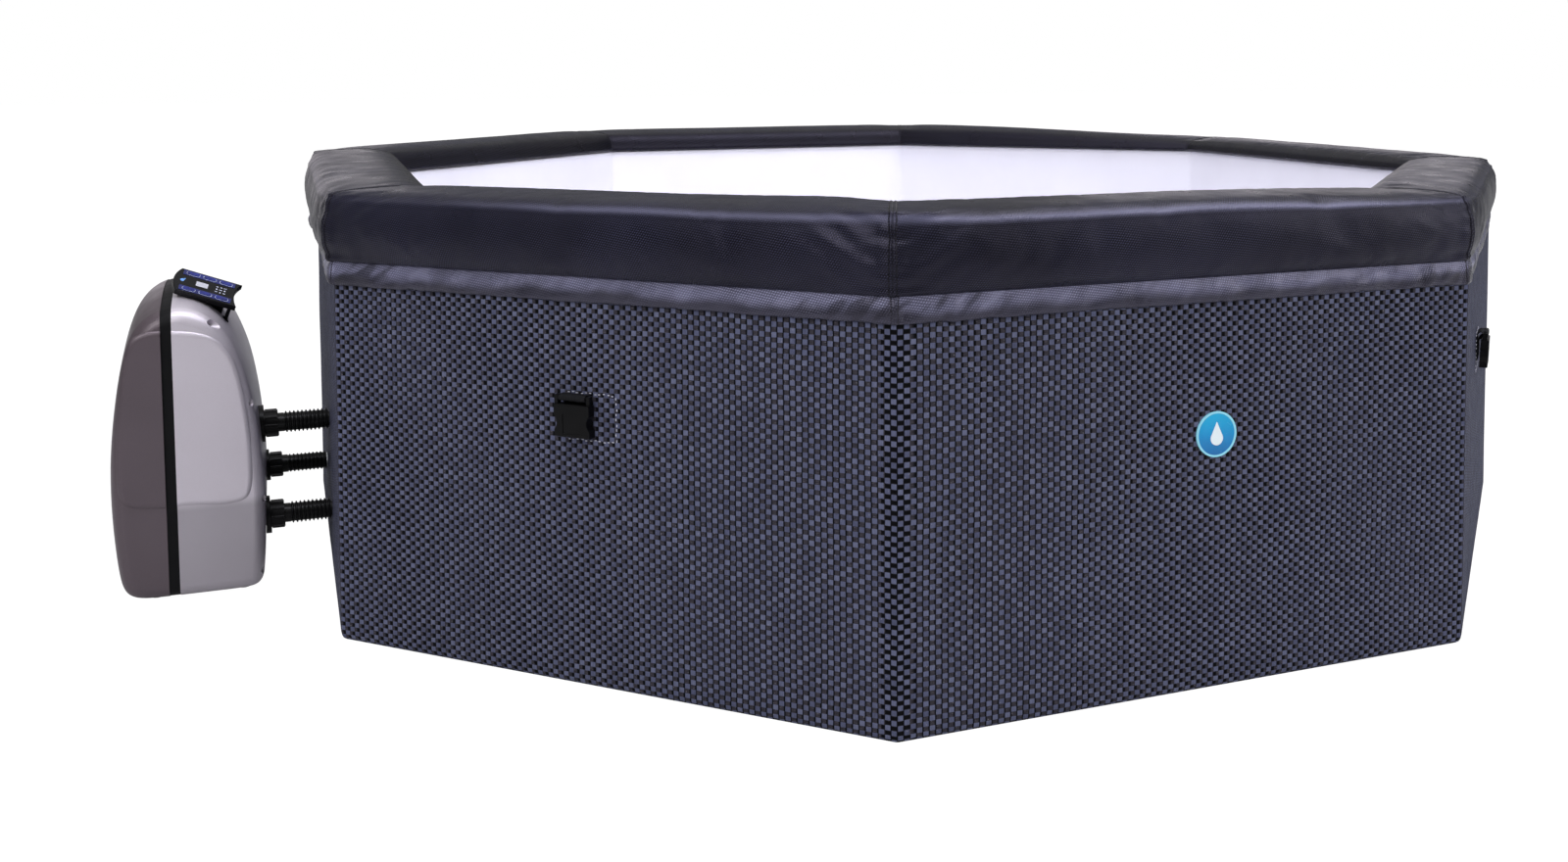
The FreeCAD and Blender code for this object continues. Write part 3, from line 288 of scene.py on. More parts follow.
class Mat:
    def __init__(self, name, rough=0.5, metallic=0.0, spec=0.5):
        self.m = bpy.data.materials.new(name)
        self.m.use_nodes = True
        self.t = self.m.node_tree
        self.b = self.t.nodes["Principled BSDF"]
        self.b.inputs["Roughness"].default_value = rough
        self.b.inputs["Metallic"].default_value = metallic
        self.b.inputs["Specular IOR Level"].default_value = spec
        self._c = None

    def node(self, kind, **kw):
        n = self.t.nodes.new(kind)
        for k, v in kw.items():
            setattr(n, k, v)
        return n

    def link(self, a, b):
        self.t.links.new(a, b)

    def math(self, op, a, b=None, c=None, clamp=False):
        n = self.node("ShaderNodeMath", operation=op, use_clamp=clamp)
        for i, v in enumerate((a, b, c)):
            if v is None:
                continue
            if isinstance(v, (int, float)):
                n.inputs[i].default_value = v
            else:
                self.link(v, n.inputs[i])
        return n.outputs[0]

    def coord(self, which="Object"):
        if self._c is None:
            self._c = self.node("ShaderNodeTexCoord")
        return self._c.outputs[which]

    def xyz(self, which="Object"):
        s = self.node("ShaderNodeSeparateXYZ")
        self.link(self.coord(which), s.inputs[0])
        return s.outputs[0], s.outputs[1], s.outputs[2]

    def scaled(self, sx, sy, sz, which="Object"):
        n = self.node("ShaderNodeVectorMath", operation="MULTIPLY")
        self.link(self.coord(which), n.inputs[0])
        n.inputs[1].default_value = (sx, sy, sz)
        return n.outputs[0]

    def noise(self, scale, detail=3.0, vec=None, which="Object", rough=0.5):
        n = self.node("ShaderNodeTexNoise")
        n.inputs["Scale"].default_value = scale
        n.inputs["Detail"].default_value = detail
        n.inputs["Roughness"].default_value = rough
        self.link(vec if vec is not None else self.coord(which), n.inputs["Vector"])
        return n.outputs["Fac"]

    def ramp(self, fac, stops, interp="LINEAR"):
        n = self.node("ShaderNodeValToRGB")
        cr = n.color_ramp
        cr.interpolation = interp
        while len(cr.elements) < len(stops):
            cr.elements.new(0.5)
        for e, (p, c) in zip(cr.elements, stops):
            e.position = p
            e.color = c
        self.link(fac, n.inputs["Fac"])
        return n.outputs["Color"]

    def mix(self, fac, a, b):
        n = self.node("ShaderNodeMix", data_type="RGBA")
        self.link(fac, n.inputs["Factor"]) if not isinstance(fac, (int, float)) else None
        for key, v in (("A", a), ("B", b)):
            sock = [s for s in n.inputs if s.name == key and s.type == "RGBA"][0]
            if isinstance(v, tuple):
                sock.default_value = v
            else:
                self.link(v, sock)
        return [o for o in n.outputs if o.type == "RGBA"][0]

    def map(self, v, a, b, c, d):
        n = self.node("ShaderNodeMapRange")
        n.clamp = True
        self.link(v, n.inputs["Value"])
        for key, x in (("From Min", a), ("From Max", b), ("To Min", c), ("To Max", d)):
            n.inputs[key].default_value = x
        return n.outputs["Result"]

    def smooth(self, v, a, b, c=0.0, d=1.0):
        n = self.node("ShaderNodeMapRange", interpolation_type="SMOOTHSTEP")
        self.link(v, n.inputs["Value"])
        for key, x in (("From Min", a), ("From Max", b), ("To Min", c), ("To Max", d)):
            n.inputs[key].default_value = x
        return n.outputs["Result"]

    def color(self, sock):
        self.link(sock, self.b.inputs["Base Color"])

    def rough(self, sock):
        self.link(sock, self.b.inputs["Roughness"])

    def bump(self, height, dist, strength=1.0, prev=None):
        n = self.node("ShaderNodeBump")
        n.inputs["Distance"].default_value = dist
        n.inputs["Strength"].default_value = strength
        self.link(height, n.inputs["Height"])
        if prev is not None:
            self.link(prev, n.inputs["Normal"])
        self.link(n.outputs["Normal"], self.b.inputs["Normal"])
        return n.outputs["Normal"]


def moulded(name, c1, c2, rough=0.42, metallic=0.0, grain=900.0, grain_h=0.00006, spec=0.5, r_var=0.08):
    """Moulded plastic or metal: two close tones, a fine texture and slightly uneven gloss."""
    m = Mat(name, rough, metallic, spec)
    n1 = m.noise(9.0, 4.0)
    m.color(m.ramp(n1, [(0.3, lin(c1)), (0.7, lin(c2))]))
    n2 = m.noise(24.0, 3.0)
    m.rough(m.map(n2, 0.3, 0.7, max(rough - r_var, 0.05), min(rough + r_var, 1.0)))
    n3 = m.noise(grain, 2.0)
    m.bump(n3, grain_h, 0.6)
    return m.m


def metallic_paint(name, dark, light, flake, rough, painted_lower_shade=False):
    """Silver-type moulding: fine metal flakes in the colour, satin gloss."""
    m = Mat(name, rough, 0.35, 0.5)
    big = m.noise(5.0, 3.0)
    fl = m.noise(1700.0, 2.0)
    base = m.ramp(big, [(0.25, lin(dark)), (0.75, lin(light))])
    f = m.smooth(fl, 0.50, 0.72)
    c = m.mix(m.math("MULTIPLY", f, 0.35), base, lin(flake))
    if painted_lower_shade:
        X, Y, Z = m.xyz()
        # painted shade: below z 0.141 the shell is mixed towards a darker grey, standing in for the shade on the lower
        # zone, which gets less light from above
        c = m.mix(m.math("MULTIPLY", m.smooth(Z, 0.150, 0.132), 0.50), c, lin((104, 100, 106)))
    m.color(c)
    m.rough(m.map(m.noise(40.0, 3.0), 0.3, 0.7, rough - 0.05, rough + 0.06))
    m.bump(m.noise(1300.0, 2.0), 0.00003, 0.5)
    m.b.inputs["Coat Weight"].default_value = 0.12
    m.b.inputs["Coat Roughness"].default_value = 0.25
    return m.m


# ---------------------------------------------------------------- basket-weave print of the wall
def weave_material():
    """Printed basket weave: pale blue squares in alternate places over grey strands that drift sideways beneath
    them, so the dark part of each gap moves from side to side across the cloth."""
    m = Mat("basket_print", 0.6, 0.0, 0.04)
    U, V, _ = m.xyz("UV")
    CW, CH = SIDE_REF / 102.0, 0.0119
    wob = m.math("MULTIPLY", m.math("SUBTRACT", m.noise(9.0, 2.0, which="UV"), 0.5), 0.003)
    uc = m.math("DIVIDE", m.math("ADD", U, wob), CW)
    bow = m.math("MULTIPLY", m.math("SUBTRACT", m.noise(7.0, 2.0, vec=m.scaled(1.0, 0.6, 1.0, "UV")), 0.5), 0.5)
    vrow = m.math("ADD", m.math("DIVIDE", V, CH), bow)

    def checker(uu):
        col = m.math("FLOOR", uu)
        fu = m.math("SUBTRACT", m.math("FRACT", uu), 0.5)
        vv = m.math("ADD", vrow, m.math("FRACT", m.math("MULTIPLY", col, 0.5)))
        dv = m.math("ABSOLUTE", m.math("SUBTRACT", m.math("FRACT", m.math("ADD", vv, 0.25)), 0.5))
        return col, fu, vv, dv

    # pale squares, a little taller than the gaps between them
    col, fu, vv, dv = checker(uc)
    au = m.math("ABSOLUTE", fu)
    lm = m.math("MULTIPLY", m.smooth(au, 0.455, 0.365), m.smooth(dv, 0.285, 0.225))
    # grey strands: centred under the squares' columns near the front corner, and half a column aside further
    # away, so that the black part of each gap lies on one side; wholly hidden along the corner itself
    w = m.math("SUBTRACT", m.math("MULTIPLY", m.math("FRACT", m.math("MULTIPLY", m.math("ADD", m.math("DIVIDE", U, SIDE_REF), 1.0), 0.5)), 2.0), 1.0)
    shear = m.node("ShaderNodeCombineXYZ")
    m.link(m.math("ADD", U, m.math("MULTIPLY", V, 0.32)), shear.inputs[0])
    m.link(m.math("MULTIPLY", V, 0.42), shear.inputs[1])
    x = m.map(m.noise(6.5, 1.0, vec=shear.outputs[0]), 0.26, 0.74, -1.0, 1.0)
    side = m.math("SUBTRACT", m.smooth(m.math("ADD", w, m.math("MULTIPLY", x, 0.10)), -0.62, -0.16, 0.36, 0.0),
                  m.smooth(m.math("ADD", w, m.math("MULTIPLY", x, 0.10)), 0.12, 0.52, 0.0, 0.36))
    drift = m.math("ADD", side, m.math("MULTIPLY", x, 0.16))
    dn = m.math("MULTIPLY", m.math("ABSOLUTE", w), SIDE_REF)
    near = m.smooth(dn, 0.026, 0.010)
    drift = m.math("ADD", m.math("MULTIPLY", drift, m.smooth(dn, 0.022, 0.06)), near)
    col2, fu2, vv2, dv2 = checker(m.math("ADD", uc, drift))
    au2 = m.math("ABSOLUTE", fu2)
    gm = m.math("MULTIPLY", m.smooth(au2, 0.47, 0.24), m.smooth(dv2, 0.15, 0.26))
    # fibres: upright in the squares, level in the strands
    fib = m.noise(1.0, 2.0, vec=m.scaled(1500.0, 170.0, 1.0, "UV"))
    fib2 = m.noise(1.0, 2.0, vec=m.scaled(170.0, 1300.0, 1.0, "UV"))
    wn = m.node("ShaderNodeTexWhiteNoise", noise_dimensions="2D")
    cmb = m.node("ShaderNodeCombineXYZ")
    m.link(col, cmb.inputs[0])
    m.link(m.math("FLOOR", m.math("MULTIPLY", vv, 2.0)), cmb.inputs[1])
    m.link(cmb.outputs[0], wn.inputs["Vector"])
    cell = wn.outputs["Value"]
    tone = m.math("ADD", m.math("MULTIPLY", fib, 0.7), m.math("MULTIPLY", cell, 0.3))
    lightc = m.ramp(tone, [(0.2, lin((67, 70, 92))), (0.5, lin((90, 94, 120))), (0.8, lin((112, 116, 141)))])
    greyc = m.ramp(fib2, [(0.25, lin((40, 39, 45))), (0.5, lin((54, 52, 59))), (0.62, lin((66, 63, 70))), (0.8, lin((108, 103, 108)))])
    c = m.mix(gm, lin((11, 11, 14)), greyc)
    c = m.mix(lm, c, lightc)
    fl = m.math("MULTIPLY", m.smooth(m.noise(330.0, 1.0, which="UV"), 0.69, 0.76), 0.5)
    c = m.mix(m.math("MULTIPLY", fl, m.math("MAXIMUM", lm, gm)), c, lin((150, 146, 156)))
    m.color(c)
    m.rough(m.map(m.noise(30.0, 2.0, which="UV"), 0.3, 0.7, 0.56, 0.70))
    crown = m.math("SUBTRACT", 1.0, m.math("MULTIPLY", m.math("MULTIPLY", fu, fu), 1.8))
    h = m.math("MAXIMUM", m.math("MULTIPLY", lm, crown), m.math("MULTIPLY", gm, 0.45))
    h = m.math("ADD", h, m.math("MULTIPLY", fib, 0.08))
    m.bump(h, 0.0006, 0.6)
    return m.m


# ---------------------------------------------------------------- embossed charcoal cloth of the rim and skirt
def rim_material(name, dark, light, glint, rough=0.40, spec=0.2, kind="roll"):
    """Coated cloth with a fine diagonal emboss, and twin rows of black stitching beside each corner seam."""
    m = Mat(name, rough, 0.0, spec)
    U, V, _ = m.xyz("UV")
    PU, PV = 0.0034, 0.0028
    a = m.math("MULTIPLY", m.math("ADD", m.math("DIVIDE", U, PU), m.math("MULTIPLY", V, 0.55 / PV)), 2 * math.pi)
    b = m.math("MULTIPLY", m.math("SUBTRACT", m.math("DIVIDE", V, PV), m.math("MULTIPLY", U, 0.18 / PU)), 2 * math.pi)
    em = m.math("MULTIPLY", m.math("ADD", m.math("SINE", a), 1.0), m.math("MULTIPLY", m.math("ADD", m.math("SINE", b), 1.0), 0.25))
    big = m.noise(7.0, 4.0, which="UV")
    fine = m.noise(900.0, 2.0, which="UV")
    tone = m.math("ADD", m.math("MULTIPLY", big, 0.8), m.math("MULTIPLY", fine, 0.2))
    c = m.ramp(tone, [(0.25, lin(dark)), (0.75, lin(light))])
    c = m.mix(m.math("MULTIPLY", em, m.map(m.noise(4.0, 3.0, which="UV"), 0.35, 0.65, 0.35, 1.0)), c, lin(glint))
    if kind == "roll":
        # painted highlight: a pale line along the foam's top edge stands in for the light caught on the roll's
        # shoulder; painted shade darkens the inner face
        vw = m.math("ADD", V, m.math("MULTIPLY", m.math("SUBTRACT", m.noise(4.0, 2.0, which="UV"), 0.5), 0.007))
        painted_ridge_highlight = m.smooth(m.math("ABSOLUTE", m.math("SUBTRACT", vw, 0.2085)), 0.0105, 0.0)
        painted_ridge_highlight = m.math("MULTIPLY", painted_ridge_highlight, m.map(m.noise(2.3, 2.0, which="UV"), 0.35, 0.62, 0.20, 0.60))
        # the painted highlight fades out at the two ends of the front
        for k_, r_ in ((4.62, 0.62), (7.5, 0.42)):
            painted_ridge_highlight = m.math("MULTIPLY", painted_ridge_highlight, m.smooth(m.math("ABSOLUTE", m.math("SUBTRACT", U, k_ * SIDE_REF)), r_ * 0.75, r_, 0.12, 1.0))
        c = m.mix(painted_ridge_highlight, c, lin((114, 114, 140)))
        # painted shade: the inner face of the roll, up to V 0.094, is darkened towards near black
        c = m.mix(m.smooth(V, 0.094, 0.074, 0.0, 0.75), c, lin((3, 3, 4)))
    else:
        # painted light and shade: bright where the flap leans out to the light, painted shade towards the hem and in
        # the valleys between the creases
        wav = m.math("SUBTRACT", m.noise(1.0, 2.0, vec=m.scaled(13.0, 20.0, 1.0, "UV")), 0.5)
        low = m.smooth(m.math("ADD", V, m.math("MULTIPLY", wav, 0.018)), 0.010, 0.0235)
        c = m.mix(m.math("MULTIPLY", low, 0.86), c, lin((17, 17, 22)))
        sh = m.node("ShaderNodeCombineXYZ")
        m.link(m.math("MULTIPLY", m.math("ADD", U, m.math("MULTIPLY", V, 0.8)), 34.0), sh.inputs[0])
        m.link(m.math("MULTIPLY", V, 26.0), sh.inputs[1])
        crn = m.noise(1.0, 1.0, vec=sh.outputs[0])
        fcr = m.math("DIVIDE", U, SIDE_REF)
        dcr = m.math("MULTIPLY", m.math("ABSOLUTE", m.math("SUBTRACT", fcr, m.math("ROUND", fcr))), SIDE_REF)
        nearc = m.smooth(dcr, 0.20, 0.02, 0.25, 1.0)
        c = m.mix(m.math("MULTIPLY", m.smooth(crn, 0.47, 0.36), m.math("MULTIPLY", nearc, 0.75)), c, lin((16, 16, 21)))
        # painted sheen: pale lavender on the crease tops, away from the hem
        c = m.mix(m.math("MULTIPLY", m.math("MULTIPLY", m.smooth(crn, 0.54, 0.64), m.math("SUBTRACT", 1.0, low)), m.math("MULTIPLY", nearc, 0.6)), c, lin((150, 150, 178)))
    h = m.math("ADD", m.math("MULTIPLY", em, 1.0), m.math("MULTIPLY", fine, 0.2))
    f = m.math("DIVIDE", U, SIDE_REF)
    d = m.math("MULTIPLY", m.math("ABSOLUTE", m.math("SUBTRACT", f, m.math("ROUND", f))), SIDE_REF)
    off = m.math("ABSOLUTE", m.math("SUBTRACT", d, 0.0048))
    line = m.smooth(off, 0.0012, 0.0005)
    dash = m.smooth(m.math("ABSOLUTE", m.math("SUBTRACT", m.math("FRACT", m.math("DIVIDE", V, 0.0034)), 0.5)), 0.40, 0.28)
    st = m.math("MULTIPLY", line, dash)
    seam = m.smooth(d, 0.0009, 0.0002)
    strip = m.smooth(d, 0.0054, 0.0044)
    c = m.mix(m.math("MULTIPLY", strip, 0.25), c, lin((14, 14, 18)))
    c = m.mix(m.math("MULTIPLY", line, 0.60), c, lin((10, 10, 13)))
    c = m.mix(st, c, lin((3, 3, 4)))
    c = m.mix(m.math("MULTIPLY", seam, 0.6), c, lin((5, 5, 7)))
    h = m.math("SUBTRACT", m.math("SUBTRACT", h, m.math("MULTIPLY", line, 2.2)), seam)
    h = m.math("ADD", h, m.math("MULTIPLY", st, 1.4))
    m.color(c)
    m.b.inputs["Specular Tint"].default_value = (0.80, 0.75, 1.0, 1.0)
    m.rough(m.map(m.noise(20.0, 3.0, which="UV"), 0.3, 0.7, rough - 0.07, rough + 0.09))
    m.bump(h, 0.0003, 0.8)
    return m.m


def liner_material():
    m = Mat("liner_pvc", 0.38, 0.0, 0.45)
    n = m.noise(6.0, 4.0)
    m.color(m.ramp(n, [(0.3, lin((238, 237, 245))), (0.7, lin((244, 243, 251)))]))
    m.rough(m.map(m.noise(18.0, 3.0), 0.3, 0.7, 0.32, 0.46))
    m.bump(m.noise(700.0, 2.0), 0.00008, 0.5)
    m.b.inputs["Subsurface Weight"].default_value = 0.0
    return m.m


MAT_WEAVE = weave_material()
MAT_RIM = rim_material("rim_emboss", (5, 5, 8), (15, 14, 20), (58, 59, 84), rough=0.31, spec=0.27)
# the skirt is the rim's cloth with much lighter colours and a pale glint: a lit copy, painted light standing in for
# the overhead light the flap catches
MAT_SKIRT_LIT_COPY = rim_material("skirt_emboss_lit_copy", (50, 49, 62), (102, 101, 125), (168, 169, 202), rough=0.29, spec=0.60, kind="flap")
MAT_LINER = liner_material()

# ---------------------------------------------------------------- soft skins of the tub
WALL_FOOT, WALL_TOP, WALL_TOP_Z = 0.975, 0.9525, 0.510


def wall_a(z):
    return WALL_FOOT + (WALL_TOP - WALL_FOOT) * z / WALL_TOP_Z


# outer jacket
sec = [(0.9625, 0.0004), (0.9660, 0.0006), (0.9690, 0.0016), (0.9718, 0.0038), (0.9735, 0.0075)]
sec += [(wall_a(z), z) for z in np.linspace(0.013, 0.5105, 46)]
P, UV = oct_surface(sec, 0.006, 70, 3)
N = normals_of(P)
u, v = UV[..., 0], UV[..., 1]
z = P[..., 2]
cd = corner_dist(u)
amp = sstep(0.0, 0.06, z) * sstep(0.02, 0.12, cd)
D = 0.0013 * fbm(u * 5.0, v * 4.0, 3, 2) * amp
D += 0.0006 * fbm(u * 16.0, v * 9.0, 5, 2) * sstep(0.0, 0.05, z)
# upright drag folds beside the corners of the control unit's side and, fainter, the others
side_id = np.floor(u / SIDE_REF).astype(int) % 8
tt = (u / SIDE_REF - np.floor(u / SIDE_REF) - 0.5) * 2
fold = np.abs(vnoise(u * 26.0 + 0.8 * vnoise(u * 3, v * 5, 9), v * 2.2, 11)) * sstep(0.45, 0.95, np.abs(tt)) * amp
D -= 0.0030 * fold * np.where(side_id == 4, 1.0, 0.2)
P = P + N * D[..., None]
jacket = grid_mesh("wall_jacket", P, UV, mat=MAT_WEAVE, body="tub")
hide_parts("outer_jacket")

# rim roll
rim_path = [(0.850, 0.5738), (0.8115, 0.5738), (0.8120, 0.584), (0.815, 0.592), (0.821, 0.599), (0.831, 0.6045),
            (0.846, 0.6085), (0.865, 0.610), (0.900, 0.6095), (0.922, 0.6085), (0.938, 0.6065), (0.9490, 0.6025),
            (0.9560, 0.5960), (0.9600, 0.5870), (0.9633, 0.577), (0.9662, 0.563), (0.9675, 0.548), (0.9665, 0.534), (0.963, 0.521),
            (0.9555, 0.5115)]
sec = resample(rim_path, 0.004)
sec = sec + [(0.9500, 0.5112), (0.9422, 0.5112)]
P, UV = oct_surface(sec, 0.007, 90, 3)
R_, C_ = P.shape[:2]
u, v = UV[..., 0], UV[..., 1]
cd = corner_dist(u)
z = P[..., 2]
apo = np.array([a for a, _ in sec])[:, None] * np.ones_like(u)
out = P.copy()
out[..., 2] = 0
out /= np.linalg.norm(out, axis=-1, keepdims=True)
# the cover is drawn in at its corner seams and fuller between them
face = sstep(0.945, 0.958, apo) * sstep(0.512, 0.522, z)
P = P - out * (0.0085 * face * np.exp(-(cd / 0.075) ** 2))[..., None]
topf = sstep(0.600, 0.608, z)
P[..., 2] -= 0.0030 * topf * np.exp(-(cd / 0.045) ** 2)
# the roll doesn't lie quite level: fuller at the back, slack along the front and the far right
px_, py_ = P[..., 0], P[..., 1]
back_ = 0.007 - 0.015 * sstep(0.45, 0.88, px_)
front_ = -0.0045 + 0.0045 * np.exp(-((px_ + 0.39) / 0.10) ** 2) - 0.0045 * sstep(0.0, 0.36, px_)
fb = sstep(-0.30, 0.30, py_)
P[..., 2] += (back_ * fb + front_ * (1 - fb)) * sstep(0.578, 0.602, z)
cols = np.concatenate([k * 117 + np.array([7, 9, 10, 11] + list(range(12, 102)) + [102, 103, 104, 106, 115]) for k in range(8)])
rws = np.array(sorted(set(list(range(0, R_, 2)) + [R_ - 1])))
pin = np.zeros((len(rws), len(cols)))
pin[:11] = 1.0
pin[-2:] = 1.0
pin[:, np.isin(cols % 117, (115,))] = 1.0
Dc = cloth_relax(P[np.ix_(rws, cols)], pin, pressure=4.0, grow=0.012, frames=18, cap=0.0065, bend=0.4, stiff=18.0)
# the foam block inside keeps the roll's section, so only what differs along the side stays
mid_ = cd[0, cols] > 0.10
Dn = Dc.copy()
for k_ in range(8):
    mk = (cols // 117 == k_) & mid_
    ck = cols // 117 == k_
    rad = (Dc * out[np.ix_(rws, cols)]).sum(-1)
    mr, mz = rad[:, mk].mean(1), Dc[:, mk, 2].mean(1)
    wgt = sstep(0.0, 0.035, cd[0, cols])[ck]
    Dn[:, ck] -= out[np.ix_(rws, cols)][:, ck] * (mr[:, None] * wgt[None])[..., None]
    Dn[:, ck, 2] -= mz[:, None] * wgt[None]
Dc = Dn * (0.7 - 0.35 * sstep(0.600, 0.608, P[np.ix_(rws, cols)][..., 2]) - 0.2 * np.exp(-(cd[np.ix_(rws, cols)] / 0.05) ** 2))[..., None]
P = P + spread(Dc, rws, cols, R_, C_, u[R_ // 2])
N = -normals_of(P)
hemfade = np.ones_like(u)
hemfade[:12] = 0.0
hemfade[12:26] = np.linspace(0.05, 0.9, 14)[:, None]
hemfade[-4:] = 0.0
# slow padding waves, small creases, a seam groove down each corner with puckers beside it
D = 0.0011 * fbm(u * 3.2, v * 9.0, 21, 3)
D += 0.0005 * fbm(u * 14.0, v * 20.0, 23, 2)
D *= 1.0 - 0.55 * sstep(0.599, 0.607, z)
# the corners at the two ends of the front are sewn flatter than the one between them
ends = np.maximum(np.exp(-((u - 5 * SIDE_REF) / 0.2) ** 2), np.exp(-((u - 7 * SIDE_REF) / 0.2) ** 2))
strip = sstep(0.0060, 0.0045, cd)
D += 0.0010 * strip
D -= 0.0014 * np.exp(-(cd / 0.0012) ** 2)
D -= 0.0007 * np.exp(-((cd - 0.0050) / 0.0010) ** 2)
puck = np.exp(-(cd / 0.032) ** 2) * np.sin(v / 0.017 * 2 * math.pi + 1.8 * vnoise(u * 8, v * 30, 31))
D += 0.0010 * puck * (1 - 0.6 * strip) * (1 - 0.6 * ends) * (1 - 0.6 * topf)
drag = np.exp(-((cd - 0.055) / 0.05) ** 2) * np.sin((v + 0.62 * cd) / 0.031 * 2 * math.pi + 3.0 * fbm(u * 2, v * 4, 37, 2))
D += 0.0010 * drag * sstep(0.93, 0.95, apo) * (1 - 0.4 * ends)
# pinch in the seam just under the top ridge
D -= 0.0028 * np.exp(-(cd / 0.013) ** 2) * np.exp(-((z - 0.577) / 0.008) ** 2) * (apo > 0.93)
# ridge where the foam's top edge shows through the cover
D += 0.0016 * np.exp(-((z - 0.592) / 0.0042) ** 2) * (apo > 0.93) * sstep(0.01, 0.05, cd)
low = sstep(0.545, 0.513, z) * (apo > 0.93)
D += 0.0010 * low * vnoise(u * 55.0, v * 14.0, 41)
P = P + N * (D * hemfade)[..., None]
P[..., 0] -= 0.005
rim = grid_mesh("rim_roll", P, UV, mat=MAT_RIM, body="tub", flip=True)
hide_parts("rim_cover", "rim_foam")

# skirt under the rim
sk = [(0.9541, 0.5120), (0.9546, 0.5095), (0.9555, 0.5062), (0.9563, 0.5025), (0.9570, 0.4985), (0.9575, 0.4945),
      (0.9579, 0.4905), (0.9581, 0.4870), (0.9580, 0.4848), (0.9576, 0.4835), (0.9569, 0.4829), (0.9562, 0.4833), (0.9558, 0.4846), (0.9556, 0.4880)]
P, UV = oct_surface(sk, 0.010, 190, 3)
u, v = UV[..., 0], UV[..., 1]
cd = corner_dist(u)
out = P.copy()
out[..., 2] = 0
out /= np.linalg.norm(out, axis=-1, keepdims=True)
pin = np.zeros(P.shape[:2])
pin[:2] = 1.0
Dc = cloth_relax(P, pin, gravity=1.0, grow=0.035, frames=16, cap=0.0042, bend=0.05, stiff=10.0)
Dr = (Dc * out).sum(-1)
Dc = Dc - out * (Dr - np.where(Dr < 0, 0.35 * Dr, Dr))[..., None]
P = P + Dc
fall = sstep(0.0, 0.020, v)
cre = 1.0 - 2.0 * np.abs(fbm(u * 17.0 + 0.9 * v / 0.03, v * 22.0 + 3.0, 51, 2))
w = 0.0016 * fbm(u * 7.0, 0 * v, 53, 2) + 0.0024 * cre * sstep(0.0, 0.008, v) * sstep(0.034, 0.012, v)
w += 0.0016 * fbm(u * 34.0, v * 30.0, 57, 2) * sstep(0.0, 0.01, v)
near_c = 0.35 + 0.65 * np.exp(-(cd / 0.20) ** 2)
rid = 1.0 - 2.0 * np.abs(fbm(u * 30.0 + v * 26.0, v * 34.0 - u * 6.0, 63, 2))
w += 0.0030 * near_c * rid * sstep(0.0, 0.009, v) * sstep(0.036, 0.022, v)
w *= sstep(0.0, 0.012, v)
pinc = np.exp(-(cd / 0.014) ** 2)
w = w * (1 - 0.6 * pinc)
# the hem stands out at the corner furthest to the left
flare = np.exp(-((u - 4 * SIDE_REF) / 0.11) ** 2) * fall
P = P + out * (w + 0.0085 * flare)[..., None]
P[..., 2] += (0.0012 * fbm(u * 6.0, 0 * v, 59, 2) + 0.0005 * vnoise(u * 30, 0 * v, 61)) * fall
P[..., 0] -= 0.003
skirt = grid_mesh("rim_skirt_flap", P, UV, mat=MAT_SKIRT_LIT_COPY, body="tub", flip=True)
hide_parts("rim_skirt")

# liner
li = [(0.9300, 0.5724), (0.8800, 0.5724), (0.8400, 0.5724), (0.8215, 0.5722), (0.8190, 0.5716), (0.8183, 0.5695)]
li += [(0.8180, z_) for z_ in np.linspace(0.562, 0.040, 36)]
for k in range(1, 8):
    an = math.radians(90 * k / 8)
    li.append((0.8180 - 0.010 * (1 - math.cos(an)), 0.0363 - 0.010 * math.sin(an)))
li += [(a_, 0.0263) for a_ in np.linspace(0.806, 0.03, 40)]
li += [(a_, 0.0263) for a_ in (0.016, 0.006, 0.0008)]
P, UV = oct_surface(li, 0.014, 26, 3)
u, v = UV[..., 0], UV[..., 1]
cd = corner_dist(u)
N = normals_of(P)
apo = np.array([a for a, _ in li])[:, None] * np.ones_like(u)
zz = P[..., 2]
wallm = sstep(0.045, 0.09, zz) * (1 - sstep(0.545, 0.568, zz)) * (apo < 0.8195)
D = 0.0007 * (0.6 + 0.6 * fbm(u * 5, v * 6, 71, 2)) * wallm
D += 0.0009 * np.maximum(0, vnoise(u * 30, v * 2.5, 73)) * np.exp(-((cd - 0.03) / 0.03) ** 2) * wallm
P = P + (P * np.array([1, 1, 0])) / np.maximum(np.linalg.norm(P[..., :2], axis=-1, keepdims=True), 1e-6) * D[..., None]
flo = (apo < 0.76)
P[..., 2] += flo * 0.0008 * np.maximum(0, fbm(P[..., 0] * 9, P[..., 1] * 9, 77, 3))
liner = grid_mesh("liner_skin", P, UV, mat=MAT_LINER, body="tub", flip=False)
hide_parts("inner_liner")

# ---------------------------------------------------------------- webbing tabs that carry the lid buckles
BK_BAR_Z = 0.366
SLOPE = math.atan((WALL_FOOT - WALL_TOP) / WALL_TOP_Z)
BUCKLES = [(-135.0, -0.019), (-45.0, -0.080), (45.0, 0.0), (135.0, 0.0)]


def tab_frame(ang, t):
    ca, sa = math.cos(math.radians(ang)), math.sin(math.radians(ang))
    a = wall_a(BK_BAR_Z)
    o = Vector((ca * a - sa * t, sa * a + ca * t, BK_BAR_Z))
    ex = Vector((-sa, ca, 0.0))
    ez = Vector((ca * math.cos(SLOPE), sa * math.cos(SLOPE), math.sin(SLOPE)))
    return o, ex, ez.cross(ex), ez


def webbing_material():
    m = Mat("webbing", 0.62, 0.0, 0.18)
    U, V, _ = m.xyz("UV")
    rib = m.math("SINE", m.math("MULTIPLY", U, 2 * math.pi / 0.0022))
    pick = m.math("SINE", m.math("ADD", m.math("MULTIPLY", V, 2 * math.pi / 0.0016), m.math("MULTIPLY", rib, 1.2)))
    h = m.math("ADD", m.math("MULTIPLY", rib, 0.5), m.math("MULTIPLY", pick, 0.5))
    m.color(m.ramp(m.map(h, -1, 1, 0, 1), [(0.2, lin((6, 6, 8))), (0.8, lin((22, 22, 27)))]))
    m.bump(h, 0.0003, 0.8)
    return m.m


